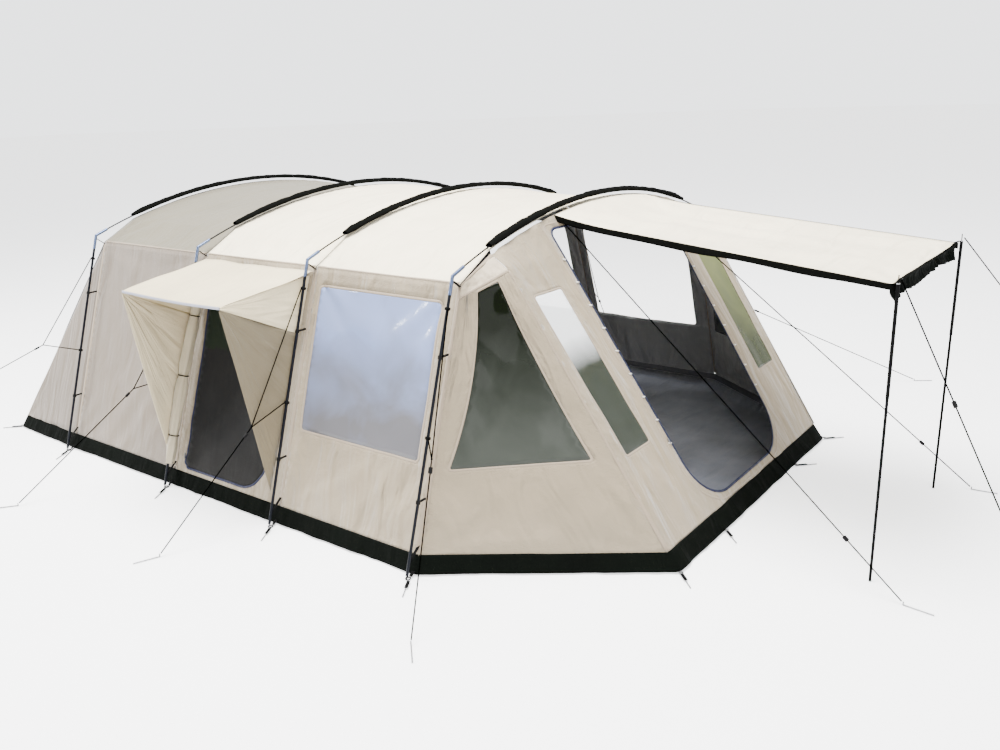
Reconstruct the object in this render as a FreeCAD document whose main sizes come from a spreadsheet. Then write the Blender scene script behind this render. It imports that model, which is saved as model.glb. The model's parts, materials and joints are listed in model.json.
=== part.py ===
"""Family tunnel tent: four poled arches, a front awning on two poles and a side porch.

Millimetres. +X points to the front awning, +Y to the plain side, +Z up. The origin is the centre of
the groundsheet, on the ground. The near side (-Y) carries the side porch, the far side is +Y.
"""
import FreeCAD
import Part
import math
import os
from FreeCAD import Placement, Rotation, Vector

DIMENSIONS = (
    ("arch_height", 2000),
    ("elbow_height", 1700),
    ("elbow_half_width", 1633),
    ("foot_half_width", 2190),
    ("front_arch_x", 1710),
    ("front_bay_length", 1232),
    ("middle_bay_length", 1180),
    ("rear_bay_length", 1374),
    ("rear_slope_length", 920),
    ("rear_half_width", 2094),
    ("front_reach", 1284),
    ("front_half_width", 1250),
    ("facet_plane_height", 1962),
    ("facet_top_height", 1935),
    ("facet_shoulder_height", 1780),
    ("facet_shoulder_half_width", 1330),
    ("wall_top_height", 1640),
    ("wall_top_half_width", 1565),
    ("wall_foot_half_width", 2120),
    ("fabric_thickness", 2),
    ("panel_gap", 4),
    ("skirt_height", 110),
    ("rod_radius", 5.5),
    ("leg_radius", 9.5),
    ("connector_radius", 11),
    ("connector_arm", 110),
    ("sleeve_half_angle", 16.2),
    ("sleeve_half_width", 34),
    ("sleeve_half_depth", 17),
    ("sleeve_bore_radius", 7),
    ("roof_drop", 25),
    ("awning_reach", 2205),
    ("awning_hinge_height", 1900),
    ("awning_root_half_width", 610),
    ("awning_tip_half_width", 728),
    ("awning_tip_height", 1690),
    ("pole_spread", 745),
    ("pole_height", 1700),
    ("pole_section_height", 1085),
    ("pole_radius", 9.5),
    ("pole_bore_radius", 8.3),
    ("pole_foot_radius", 8),
    ("pole_bore_depth", 340),
    ("spike_radius", 3),
    ("spike_length", 45),
    ("canopy_root_height", 1610),
    ("canopy_hem_height", 1510),
    ("canopy_hem_half_width", 2310),
    ("guy_radius", 4),
    ("guy_knot_radius", 10),
    ("upper_tab_height", 1520),
    ("lower_tab_height", 800),
    ("runner_length", 34),
    ("runner_width", 20),
    ("runner_depth", 15),
    ("runner_bore_radius", 4.5),
    ("peg_radius", 4),
    ("peg_length", 160),
    ("peg_hook_height", 22),
)
ARCH_RADIUS = ("(Dimensions.elbow_half_width ^ 2 + (Dimensions.arch_height - Dimensions.elbow_height) ^ 2)"
               " / (2 * (Dimensions.arch_height - Dimensions.elbow_height))")
NEAR = -1
FAR = 1
ARCHES = (1, 2, 3, 4)

doc = FreeCAD.newDocument("TunnelTent")
sheet = doc.addObject("Spreadsheet::Sheet", "Dimensions")
for row, (alias, value) in enumerate(DIMENSIONS, start=1):
    sheet.set(f"A{row}", alias)
    sheet.set(f"B{row}", str(value))
    sheet.setAlias(f"B{row}", alias)
doc.recompute()

nodes = []


def dim(alias):
    """Value of one driving dimension."""
    return float(sheet.get(alias))


arch_rise = dim("arch_height") - dim("elbow_height")
arch_radius = (dim("elbow_half_width") ** 2 + arch_rise ** 2) / (2 * arch_rise)
arch_centre_z = dim("arch_height") - arch_radius
front_corner_x = dim("front_arch_x") + dim("front_reach")
arch_x = {4: dim("front_arch_x")}
arch_x[3] = arch_x[4] - dim("front_bay_length")
arch_x[2] = arch_x[3] - dim("middle_bay_length")
arch_x[1] = arch_x[2] - dim("rear_bay_length")
rear_corner_x = arch_x[1] - dim("rear_slope_length")
pole_x = dim("front_arch_x") + dim("awning_reach")
thickness = dim("fabric_thickness")
gap = dim("panel_gap")
panel_foot = dim("skirt_height") + gap


# ---------------------------------------------------------------- helpers

def keep(obj, label):
    """Name an object as a node of the hand-in."""
    obj.Label = label
    nodes.append(label)
    return obj


def fabric(label, shape):
    """A node whose free-form shape is set directly."""
    obj = doc.addObject("Part::Feature", label)
    obj.Shape = shape
    obj.Placement = Placement()
    return keep(obj, label)


def piece(shape, name):
    """A free-form piece that becomes part of a group."""
    obj = doc.addObject("Part::Feature", name)
    obj.Shape = shape
    return obj


def group(label, members):
    """Several separate pieces of one kind as one node."""
    obj = doc.addObject("Part::Compound", label)
    obj.Links = members
    return keep(obj, label)


def fuse(members, name):
    obj = doc.addObject("Part::MultiFuse", name)
    obj.Shapes = members
    return obj


def rod(start, end, radius_alias, name):
    """Round bar from start to end, its radius bound to the sheet."""
    obj = doc.addObject("Part::Cylinder", name)
    obj.setExpression("Radius", f"Dimensions.{radius_alias}")
    obj.Height = (end - start).Length
    obj.Placement = Placement(start, Rotation(Vector(0, 0, 1), end - start))
    return obj


def ball(centre, radius_alias, name):
    obj = doc.addObject("Part::Sphere", name)
    obj.setExpression("Radius", f"Dimensions.{radius_alias}")
    obj.Placement = Placement(centre, Rotation())
    return obj


def bar(centre, along, length, width, depth, name):
    """Rectangular strap or bar: length along a direction, its flat side as level as it can be."""
    direction = Vector(along).normalize()
    flat = Rotation(direction, Vector(0, 0, 1).cross(direction), Vector(0, 0, 1), "XZY")
    obj = doc.addObject("Part::Box", name)
    obj.Length = length
    obj.Width = width
    obj.Height = depth
    corner = flat.multVec(Vector(length / 2, width / 2, depth / 2))
    obj.Placement = Placement(centre - corner, flat)
    return obj


def polygon_slab(points, inward):
    """Flat panel: a polygon thickened by the fabric's thickness towards inward."""
    face = Part.Face(Part.makePolygon(points + [points[0]]))
    normal = face.normalAt(0, 0)
    if normal.dot(inward) < 0:
        normal = normal * -1
    return face.extrude(normal * thickness)


def prism(wire, through):
    """Solid that runs through a panel along a direction, used to cut or to keep an outline."""
    return Part.Face(wire).extrude(through * 2).translated(through * -1)


def rounded_wire(corners, radii):
    """Closed wire round flat corners, each rounded by its own radius."""
    arrivals = []
    arcs = []
    departures = []
    for index, (corner, radius) in enumerate(zip(corners, radii)):
        to_last = (corners[index - 1] - corner).normalize()
        to_next = (corners[(index + 1) % len(corners)] - corner).normalize()
        half_angle = to_last.getAngle(to_next) / 2
        reach = radius / math.tan(half_angle)
        bisector = (to_last + to_next).normalize()
        arrivals.append(corner + to_last * reach)
        departures.append(corner + to_next * reach)
        arcs.append(corner + bisector * (radius / math.sin(half_angle) - radius))
    edges = []
    for index in range(len(corners)):
        edges.append(Part.Arc(arrivals[index], arcs[index], departures[index]).toShape())
        edges.append(Part.makeLine(departures[index], arrivals[(index + 1) % len(corners)]))
    return Part.Wire(edges)


def lerp(start, end, share):
    return start + (end - start) * share


# ---------------------------------------------------------------- the lines of the tent

def leg_point(arch, side, height):
    """Centre of a side leg at a height."""
    share = height / dim("elbow_height")
    half_width = dim("foot_half_width") + (dim("elbow_half_width") - dim("foot_half_width")) * share
    return Vector(arch_x[arch], side * half_width, height)


def wall_half_width(height):
    share = height / dim("wall_top_height")
    return dim("wall_foot_half_width") + (dim("wall_top_half_width") - dim("wall_foot_half_width")) * share


def wall_point(x, side, height, outward=0):
    """Point on the outer face of a side wall, or a little outside it."""
    slope = (dim("wall_foot_half_width") - dim("wall_top_half_width")) / dim("wall_top_height")
    normal = Vector(0, side, slope).normalize()
    return Vector(x, side * wall_half_width(height), height) + normal * outward


def roof_height(half_width, drop):
    """Height of the arch line at a half width, dropped towards the arch's centre."""
    return math.sqrt((arch_radius - drop) ** 2 - half_width ** 2) + arch_centre_z


def arch_point(x, degrees, drop=0):
    """Point on the roof arch, at an angle from its crown."""
    angle = math.radians(degrees)
    radius = arch_radius - drop
    return Vector(x, radius * math.sin(angle), arch_centre_z + radius * math.cos(angle))


def facet_point(y, height):
    """Point on the sloping front panel."""
    share = height / dim("facet_plane_height")
    return Vector(front_corner_x - dim("front_reach") * share, y, height)


def facet_normal():
    return Vector(dim("facet_plane_height"), 0, dim("front_reach")).normalize()


# ---------------------------------------------------------------- frame

def roof_rod(arch):
    """Fibreglass rod: an arc between the upper arms of the two elbows."""
    socket = math.degrees((dim("connector_arm") + 1) / arch_radius)
    half_angle = math.degrees(math.asin(dim("elbow_half_width") / arch_radius)) - socket
    obj = doc.addObject("Part::Torus", f"arch_rod_{arch}")
    obj.setExpression("Radius1", ARCH_RADIUS)
    obj.setExpression("Radius2", "Dimensions.rod_radius")
    obj.Angle3 = 2 * half_angle
    stand_up = Rotation(Vector(0, 1, 0), Vector(0, 0, 1), Vector(1, 0, 0), "XYZ")
    centred = Rotation(Vector(0, 0, 1), 90 - half_angle)
    obj.Placement = Placement(Vector(arch_x[arch], 0, arch_centre_z), stand_up.multiply(centred))
    return keep(obj, f"arch_rod_{arch}")


def elbow(arch, side):
    """Bent connector: a ball at the bend, one arm up to the rod and one arm down to the leg."""
    bend = leg_point(arch, side, dim("elbow_height"))
    socket = dim("connector_arm") / arch_radius
    angle = math.degrees(math.asin(dim("elbow_half_width") / arch_radius) - socket)
    rod_end = arch_point(arch_x[arch], side * angle)
    down = (leg_point(arch, side, 0) - bend).normalize()
    arms = [
        rod(bend, rod_end, "connector_radius", "upper_arm"),
        rod(bend, bend + down * dim("connector_arm"), "connector_radius", "lower_arm"),
        ball(bend, "connector_radius", "bend"),
    ]
    return fuse(arms, "elbow")


def leg(arch, side):
    """Steel side leg from the elbow's lower arm to just above the ground."""
    bend = leg_point(arch, side, dim("elbow_height"))
    down = (leg_point(arch, side, 0) - bend).normalize()
    start = bend + down * dim("connector_arm")
    return rod(start, leg_point(arch, side, 24), "leg_radius", "leg")


def foot_pin(arch, side):
    """Pin in the leg's foot, with the ring that the webbing holds."""
    top = leg_point(arch, side, 24)
    low = leg_point(arch, side, 4)
    shank = rod(low, top, "peg_radius", "shank")
    ring = doc.addObject("Part::Torus", "ring")
    ring.setExpression("Radius2", "Dimensions.peg_radius")
    ring.Radius1 = 15
    ring.Placement = Placement(Vector(low.x, low.y - side * 15, dim("peg_radius")), Rotation())
    return fuse([shank, ring], "foot_pin")


def pole_clip(arch, side, height):
    """C-clip round the leg, its tab reaching towards the wall."""
    centre = leg_point(arch, side, height)
    along = (leg_point(arch, side, dim("elbow_height")) - centre).normalize()
    low = centre - along * 11
    outer = Part.makeCylinder(dim("leg_radius") + 4.5, 22, low, along)
    bore = Part.makeCylinder(dim("leg_radius") + 0.3, 22, low, along)
    inward = Vector(0, -side, 0)
    face = wall_point(centre.x, side, height)
    reach = abs(centre.y - face.y) - gap
    tab = Part.makeBox(reach, 8, 12, Vector(-6, -4, -6))
    tab.Placement = Placement(centre, Rotation(Vector(1, 0, 0), inward)).multiply(tab.Placement)
    clip = outer.fuse(tab).cut(bore)
    solids = sorted(clip.Solids, key=lambda solid: solid.Volume)
    return piece(solids[-1], "pole_clip")


def frame():
    for arch in ARCHES:
        roof_rod(arch)
    for arch in ARCHES:
        group(f"legs_{arch}", [leg(arch, NEAR), leg(arch, FAR)])
    corners = [(arch, side) for arch in ARCHES for side in (NEAR, FAR)]
    group("elbow_connectors", [elbow(*corner) for corner in corners])
    group("foot_pins", [foot_pin(*corner) for corner in corners])
    group("pole_clips", [pole_clip(*corner, height) for corner in corners for height in (440, 1250)])


def corner_strap(arch, side):
    """Webbing from the elbow down to the flysheet's corner."""
    start = leg_point(arch, side, dim("elbow_height")) + Vector(0, -side * 16, -16)
    end = Vector(arch_x[arch], side * (dim("wall_top_half_width") + 10), dim("wall_top_height") + 4)
    return bar(lerp(start, end, 0.5), end - start, (end - start).Length - 10, 22, 2, "corner_strap")


def foot_strap(arch, side):
    """Webbing from the skirt out to the pin's ring."""
    ring_y = dim("foot_half_width") - 37
    skirt_y = dim("wall_foot_half_width") + 4
    centre = Vector(arch_x[arch], side * (ring_y + skirt_y) / 2, 4)
    return bar(centre, Vector(0, 1, 0), ring_y - skirt_y, 25, 3, "foot_strap")


def webbing():
    corners = [(arch, side) for arch in ARCHES for side in (NEAR, FAR)]
    straps = [corner_strap(*corner) for corner in corners]
    straps += [foot_strap(*corner) for corner in corners]
    group("webbing_straps", straps)


# ---------------------------------------------------------------- flysheet

def sleeve(arch):
    """Flattened pole sleeve: an ellipse with a round bore, turned about the arch's centre line."""
    label = f"sleeve_{arch}"
    body = doc.addObject("PartDesign::Body", label)
    sketch = body.newObject("Sketcher::SketchObject", "SleeveProfile")
    planes = {feature.Role: feature for feature in body.Origin.OriginFeatures}
    sketch.AttachmentSupport = (planes["XZ_Plane"], [""])
    sketch.MapMode = "FlatFace"
    middle = Vector(0, arch_radius + 10 - dim("sleeve_half_depth"), 0)
    wide = middle + Vector(dim("sleeve_half_width"), 0, 0)
    deep = middle + Vector(0, dim("sleeve_half_depth"), 0)
    sketch.addGeometry(Part.Ellipse(wide, deep, middle))
    sketch.addGeometry(Part.Circle(Vector(0, arch_radius, 0), Vector(0, 0, 1), dim("sleeve_bore_radius")))
    turn = body.newObject("PartDesign::Revolution", "SleeveTurn")
    turn.Profile = sketch
    turn.ReferenceAxis = (sketch, ["H_Axis"])
    turn.setExpression("Angle", "2 * Dimensions.sleeve_half_angle")
    turn.Midplane = True
    body.Placement = Placement(Vector(arch_x[arch], 0, arch_centre_z), Rotation())
    return keep(body, label)


def roof_outline(x, z_shift=0):
    """Roof section: the arch line between the sleeve ends, then straight down to the wall tops."""
    shift = Vector(0, 0, z_shift)
    angle = dim("sleeve_half_angle")
    drop = dim("roof_drop")
    corner_far = Vector(x, dim("wall_top_half_width"), dim("wall_top_height")) + shift
    corner_near = Vector(x, -dim("wall_top_half_width"), dim("wall_top_height")) + shift
    end_far = arch_point(x, angle, drop) + shift
    end_near = arch_point(x, -angle, drop) + shift
    crown = arch_point(x, 0, drop) + shift
    return [
        Part.makeLine(corner_near, end_near),
        Part.Arc(end_near, crown, end_far).toShape(),
        Part.makeLine(end_far, corner_far),
    ]


def closed_band(upper, lower):
    """Closed wire from an upper run of edges and the same run set lower."""
    first = Part.makeLine(upper[-1].lastVertex().Point, lower[-1].lastVertex().Point)
    last = Part.makeLine(lower[0].firstVertex().Point, upper[0].firstVertex().Point)
    return Part.Wire(upper + [first] + list(reversed(lower)) + [last])


def roof_bay(arch, length_alias, label):
    """Roof between two arches: the roof section padded along the bay."""
    body = doc.addObject("PartDesign::Body", label)
    sketch = body.newObject("Sketcher::SketchObject", "RoofSection")
    planes = {feature.Role: feature for feature in body.Origin.OriginFeatures}
    sketch.AttachmentSupport = (planes["YZ_Plane"], [""])
    sketch.MapMode = "FlatFace"
    band = closed_band(roof_outline(0), roof_outline(0, -thickness))
    to_sketch = Rotation(Vector(0, 1, 0), Vector(0, 0, 1), Vector(1, 0, 0), "XYZ").inverted()
    for edge in band.Edges:
        points = [to_sketch.multVec(vertex.Point) for vertex in edge.Vertexes]
        if edge.Curve.TypeId == "Part::GeomLine":
            sketch.addGeometry(Part.LineSegment(points[0], points[1]))
        else:
            middle = to_sketch.multVec(edge.valueAt((edge.FirstParameter + edge.LastParameter) / 2))
            sketch.addGeometry(Part.Arc(points[0], middle, points[1]))
    pad = body.newObject("PartDesign::Pad", "RoofLength")
    pad.Profile = sketch
    pad.setExpression("Length", f"Dimensions.{length_alias} - 2 * Dimensions.panel_gap")
    body.Placement = Placement(Vector(arch_x[arch] + gap, 0, 0), Rotation())
    if label:
        body.Label = label
    return body


def front_visor():
    """Strip of roof in front of the last arch, down to the top of the sloping front panel."""
    x = arch_x[4] + gap
    drop = dim("roof_drop")
    angle = dim("sleeve_half_angle")
    shoulder = dim("facet_shoulder_height") + gap
    half_width = dim("facet_shoulder_half_width")
    back = Part.Arc(arch_point(x, -angle, drop), arch_point(x, 0, drop), arch_point(x, angle, drop))
    crown = facet_point(0, dim("facet_top_height")) + Vector(0, 0, gap)
    front = Part.Arc(facet_point(-half_width, shoulder), crown, facet_point(half_width, shoulder))
    return Part.makeRuledSurface(back.toShape(), front.toShape()).extrude(Vector(0, 0, -thickness))


def visor_corner(side):
    """Small corner of roof between the wall top, the sleeve's end and the front panel."""
    x = arch_x[4] + gap
    corner = Vector(x, side * dim("wall_top_half_width"), dim("wall_top_height"))
    sleeve_end = arch_point(x, side * dim("sleeve_half_angle"), dim("roof_drop"))
    shoulder = facet_point(side * dim("facet_shoulder_half_width"), dim("facet_shoulder_height"))
    sleeve_end = lerp(sleeve_end, corner, 0.03)
    shoulder = lerp(shoulder, corner, 0.03)
    return polygon_slab([corner, sleeve_end, shoulder], Vector(0, 0, -1))


def roofs():
    keep(roof_bay(1, "rear_bay_length", "roof_rear_bay"), "roof_rear_bay")
    keep(roof_bay(2, "middle_bay_length", "roof_middle_bay"), "roof_middle_bay")
    main = roof_bay(3, "front_bay_length", "FrontBayRoof")
    members = [main, piece(front_visor(), "visor")]
    members += [piece(visor_corner(side), "visor_corner") for side in (NEAR, FAR)]
    group("roof_front_bay", members)


def wall_slab(start_arch, side):
    """Side wall of one bay, between two arches."""
    top = dim("wall_top_height") - gap
    start = arch_x[start_arch] + gap
    end = arch_x[start_arch + 1] - gap
    points = [
        wall_point(start, side, panel_foot),
        wall_point(end, side, panel_foot),
        wall_point(end, side, top),
        wall_point(start, side, top),
    ]
    return polygon_slab(points, Vector(0, -side, 0))


def wall_outline(side, low, high, start, end, radii, inset=0):
    """Rounded outline on a side wall, from bottom rear round to top rear."""
    corners = [
        wall_point(start + inset, side, low + inset),
        wall_point(end - inset, side, low + inset),
        wall_point(end - inset, side, high - inset),
        wall_point(start + inset, side, high - inset),
    ]
    return rounded_wire(corners, [radius - inset for radius in radii])


def side_window_cut(bay, side, inset=0):
    start = arch_x[bay] + 72
    end = arch_x[bay + 1] - 112
    wire = wall_outline(side, 615, 1530, start, end, (30, 30, 30, 30), inset)
    return prism(wire, Vector(0, 30, 0))


def side_door_cut(inset=0):
    """Side doorway in the middle bay, with its rounded lower front corner."""
    start = arch_x[2] + 112
    end = arch_x[3] - 205
    wire = wall_outline(NEAR, 150, 1480, start, end, (40, 220, 160, 60), inset)
    return prism(wire, Vector(0, 30, 0))


def side_walls():
    fabric("wall_near_rear", wall_slab(1, NEAR))
    fabric("wall_near_middle", wall_slab(2, NEAR).cut(side_door_cut()))
    fabric("wall_near_front", wall_slab(3, NEAR).cut(side_window_cut(3, NEAR)))
    fabric("wall_far_rear", wall_slab(1, FAR))
    fabric("wall_far_middle", wall_slab(2, FAR).cut(side_window_cut(2, FAR)))
    fabric("wall_far_front", wall_slab(3, FAR).cut(side_window_cut(3, FAR)))


def rear_sheet():
    """Sloping rear end: from the last arch down to a straight ground line."""
    x = arch_x[1] - gap
    foot_x = rear_corner_x + 60
    foot_half = dim("rear_half_width") - 40
    stations = [-foot_half, -foot_half * 0.8, foot_half * 0.8, foot_half]
    points = [Vector(foot_x, y, panel_foot) for y in stations]
    foot_edges = [Part.makeLine(first, second) for first, second in zip(points, points[1:])]
    inward = Vector(thickness, 0, 0)
    strips = [
        Part.makeRuledSurface(foot_edge, top_edge).extrude(inward)
        for foot_edge, top_edge in zip(foot_edges, roof_outline(x))
    ]
    return strips[0].fuse(strips[1:])


def rear_gusset(side):
    """Triangle between the last arch's leg and the edge of the sloping rear sheet."""
    top = Vector(arch_x[1] - gap, side * (dim("wall_top_half_width") + gap), dim("wall_top_height") - 20)
    leg_foot = wall_point(arch_x[1] - gap, side, panel_foot)
    corner = Vector(rear_corner_x + 60, side * (dim("rear_half_width") - 30), panel_foot)
    return polygon_slab([top, leg_foot, corner], Vector(0, side, 0))


def wing_corners(side):
    """Corners of a front wing: leg foot, front corner, shoulder of the front panel, wall top."""
    x = arch_x[4] + gap
    return [
        wall_point(x, side, panel_foot),
        facet_point(side * (dim("front_half_width") - 2), panel_foot) + Vector(-gap, side * gap, 0),
        facet_point(side * dim("facet_shoulder_half_width"), dim("facet_shoulder_height") - 20)
        + Vector(-gap, side * gap, 0),
        wall_point(x, side, dim("wall_top_height") - 8),
    ]


def wing_sheet(side):
    foot, front, shoulder, wall_top = wing_corners(side)
    inward = Vector(-1, -side, 0).normalize() * thickness

    def band(points):
        return Part.makePolygon([points[0], points[1], points[1] + inward, points[0] + inward, points[0]])

    return Part.makeLoft([band([foot, front]), band([wall_top, shoulder])], True, True)


def wing_window_cut(side, inset=0):
    """Four-cornered window that narrows upwards between the leg and the front panel's edge."""
    foot, front, shoulder, wall_top = wing_corners(side)
    low_share = 0.31
    high_share = 0.94
    low_back = lerp(foot, wall_top, low_share)
    low_front = lerp(front, shoulder, low_share)
    high_back = lerp(foot, wall_top, high_share)
    high_front = lerp(front, shoulder, high_share)
    corners = [
        lerp(low_back, low_front, 0.09),
        lerp(low_back, low_front, 0.88),
        lerp(high_back, high_front, 0.76),
        lerp(high_back, high_front, 0.36),
    ]
    centre = (corners[0] + corners[1] + corners[2] + corners[3]) * 0.25
    normal = (corners[1] - corners[0]).cross(corners[3] - corners[0]).normalize()
    flat = [corner - normal * (corner - centre).dot(normal) for corner in corners]
    if inset:
        flat = [corner + (centre - corner).normalize() * inset * 1.6 for corner in flat]
    return prism(rounded_wire(flat, [18] * 4), normal * 60)


def facet_sheet():
    """Flat sloping front panel with a curved top."""
    half_foot = dim("front_half_width") - 4
    half_top = dim("facet_shoulder_half_width") - 4
    shoulder = dim("facet_shoulder_height")
    corners = [
        facet_point(-half_foot, panel_foot),
        facet_point(half_foot, panel_foot),
        facet_point(half_top, shoulder),
        facet_point(-half_top, shoulder),
    ]
    crown = facet_point(0, dim("facet_top_height"))
    wire = Part.Wire([
        Part.makeLine(corners[0], corners[1]),
        Part.makeLine(corners[1], corners[2]),
        Part.Arc(corners[2], crown, corners[3]).toShape(),
        Part.makeLine(corners[3], corners[0]),
    ])
    return Part.Face(wire).extrude(facet_normal() * -thickness)


def doorway_cut():
    """Large front doorway with round lower corners."""
    corners = [
        facet_point(-655, 165),
        facet_point(655, 165),
        facet_point(745, 1850),
        facet_point(-745, 1850),
    ]
    return prism(rounded_wire(corners, (330, 330, 60, 60)), facet_normal() * 30)


def narrow_window_cut(side, inset=0):
    """Narrow window beside the doorway."""
    corners = [
        facet_point(side * (1165 - inset), 612 + inset),
        facet_point(side * (872 + inset), 612 + inset),
        facet_point(side * (925 + inset), 1532 - inset),
        facet_point(side * (1232 - inset), 1532 - inset),
    ]
    return prism(rounded_wire(corners, [25] * 4), facet_normal() * 30)


def ends_of_tent():
    rear = [piece(rear_sheet(), "rear_sheet")]
    rear += [piece(rear_gusset(side), "rear_gusset") for side in (NEAR, FAR)]
    group("rear_panel", rear)
    fabric("wing_near", wing_sheet(NEAR).cut(wing_window_cut(NEAR)))
    fabric("wing_far", wing_sheet(FAR).cut(wing_window_cut(FAR)))
    cut = facet_sheet().cut(doorway_cut())
    for side in (NEAR, FAR):
        cut = cut.cut(narrow_window_cut(side))
    fabric("front_panel", cut)


def windows():
    """Clear panes, a millimetre smaller than their openings."""
    inset = 1
    panes = []
    for bay, side in ((3, NEAR), (3, FAR), (2, FAR)):
        panes.append(wall_slab(bay, side).common(side_window_cut(bay, side, inset)))
    for side in (NEAR, FAR):
        panes.append(wing_sheet(side).common(wing_window_cut(side, inset)))
        panes.append(facet_sheet().common(narrow_window_cut(side, inset)))
    group("windows", [piece(pane, "pane") for pane in panes])


def ground_plan(height):
    """Outline of the tent at a height on the skirt, from the near rear corner round to the far one."""
    half = wall_half_width(height)
    front = facet_point(0, height).x
    front_half = dim("front_half_width") - 0.06 * height
    rear = rear_corner_x + 0.5 * height
    rear_half = dim("rear_half_width") - 0.3 * height
    x_rear_leg = arch_x[1]
    x_front_leg = arch_x[4] + gap
    near = [
        Vector(rear, -rear_half, height),
        Vector(x_rear_leg, -half, height),
        Vector(x_front_leg, -half, height),
        Vector(front, -front_half, height),
    ]
    far = [Vector(point.x, -point.y, point.z) for point in reversed(near)]
    return near + far


def skirt():
    """Ground skirt all round the tent, as one closed strip."""
    def frustum(offset):
        wires = []
        for height in (0, dim("skirt_height")):
            points = ground_plan(height)
            wire = Part.makePolygon(points + [points[0]])
            wires.append(wire.makeOffset2D(-offset, 2) if offset else wire)
        return Part.makeLoft(wires, True, True)

    return fabric("ground_skirt", frustum(0).cut(frustum(thickness * 2)))


def groundsheet():
    """Flat floor inside the skirt."""
    points = ground_plan(0)
    outline = Part.makePolygon(points + [points[0]]).makeOffset2D(-25, 2)
    return fabric("groundsheet", Part.Face(outline).extrude(Vector(0, 0, 3)))


def bedroom_wall():
    """Curtain wall of the bedroom, across the tunnel just behind the second arch, with its doorway."""
    x = arch_x[2] - 60
    right = [
        Vector(x, 2060, 10),
        Vector(x, 1535, 1585),
        Vector(x, 1240, 1745),
    ]
    left = [Vector(x, -point.y, point.z) for point in right]
    crown = Vector(x, 0, dim("arch_height") - 70)
    edges = [Part.makeLine(left[0], right[0])]
    edges += [Part.makeLine(first, second) for first, second in zip(right, right[1:])]
    edges.append(Part.Arc(right[-1], crown, left[-1]).toShape())
    edges += [Part.makeLine(first, second) for first, second in zip(reversed(left), left[-2::-1])]
    wall = Part.Face(Part.Wire(edges)).extrude(Vector(thickness, 0, 0))
    door = [Vector(x, -400, 90), Vector(x, 400, 90), Vector(x, 400, 1550), Vector(x, -400, 1550)]
    doorway = prism(rounded_wire(door, (150, 150, 250, 250)), Vector(30, 0, 0))
    return fabric("bedroom_wall", wall.cut(doorway))


# ---------------------------------------------------------------- awning

def awning():
    """Raised front panel that hinges at the top of the doorway, and its hanging front flap."""
    hinge_x = arch_x[4] + 45
    root_x = hinge_x + 60
    tip_x = pole_x - 14
    fall = dim("awning_hinge_height") - dim("awning_tip_height")
    root_z = dim("awning_hinge_height") - fall * 60 / (tip_x - hinge_x)
    root = dim("awning_root_half_width")
    tip = dim("awning_tip_half_width")
    points = [
        Vector(root_x, -root, root_z),
        Vector(tip_x, -tip, dim("awning_tip_height")),
        Vector(tip_x, tip, dim("awning_tip_height")),
        Vector(root_x, root, root_z),
    ]
    fabric("awning_panel", polygon_slab(points, Vector(0, 0, -1)))
    flap_x = tip_x - 6
    flap_top = dim("awning_tip_height") - 6
    flap = [
        Vector(flap_x, -tip + 6, flap_top - 80),
        Vector(flap_x, tip - 6, flap_top - 80),
        Vector(flap_x, tip - 6, flap_top),
        Vector(flap_x, -tip + 6, flap_top),
    ]
    fabric("awning_flap", polygon_slab(flap, Vector(-1, 0, 0)))


def awning_pole(side, label):
    """Upper section of a pole, bored for the lower one, with the spike that takes the eyelet."""
    y = side * dim("pole_spread")
    low = Vector(pole_x, y, dim("pole_section_height"))
    top = Vector(pole_x, y, dim("pole_height"))
    tube = rod(low, top, "pole_radius", "pole_tube")
    spike = rod(top, top + Vector(0, 0, dim("spike_length")), "spike_radius", "pole_spike")
    bore = rod(low, low + Vector(0, 0, dim("pole_bore_depth")), "pole_bore_radius", "pole_bore")
    obj = doc.addObject("Part::Cut", label)
    obj.Base = fuse([tube, spike], "pole_blank")
    obj.Tool = bore
    return keep(obj, label)


def awning_pole_foot(side, label):
    """Lower section, which slides up into the upper one."""
    y = side * dim("pole_spread")
    low = Vector(pole_x, y, 0)
    high = Vector(pole_x, y, dim("pole_section_height") + 40)
    return keep(rod(low, high, "pole_foot_radius", "pole_foot"), label)


# ---------------------------------------------------------------- side porch

def porch_cheek(end):
    """Triangle that closes one end of the porch; end is -1 at the rear leg and 1 at the front leg."""
    leg_x = arch_x[3] - 22 if end > 0 else arch_x[2] + 22
    hem_x = arch_x[3] - 58 if end > 0 else arch_x[2] + 62
    points = [
        Vector(leg_x, -1612, 1588),
        Vector(hem_x, -dim("canopy_hem_half_width") + 6, dim("canopy_hem_height") - 10),
        Vector(leg_x, -2125, 230),
    ]
    return polygon_slab(points, Vector(-end, 0, 0))


def side_porch():
    canopy = [
        Vector(arch_x[2] + 22, -1590, dim("canopy_root_height")),
        Vector(arch_x[3] - 22, -1590, dim("canopy_root_height")),
        Vector(arch_x[3] - 58, -dim("canopy_hem_half_width"), dim("canopy_hem_height")),
        Vector(arch_x[2] + 62, -dim("canopy_hem_half_width"), dim("canopy_hem_height")),
    ]
    fabric("porch_canopy", polygon_slab(canopy, Vector(0, 0, -1)))
    group("porch_cheeks", [piece(porch_cheek(end), "cheek") for end in (-1, 1)])
    fabric("side_door_mesh", wall_slab(2, NEAR).common(side_door_cut(1)))
    roll_low = wall_point(arch_x[2] + 64, NEAR, 170, 100)
    roll_high = wall_point(arch_x[2] + 110, NEAR, 1400, 95)
    roll = doc.addObject("Part::Cylinder", "rolled_side_door")
    roll.Radius = 30
    roll.Height = (roll_high - roll_low).Length
    roll.Placement = Placement(roll_low, Rotation(Vector(0, 0, 1), roll_high - roll_low))
    keep(roll, "rolled_side_door")


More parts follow.
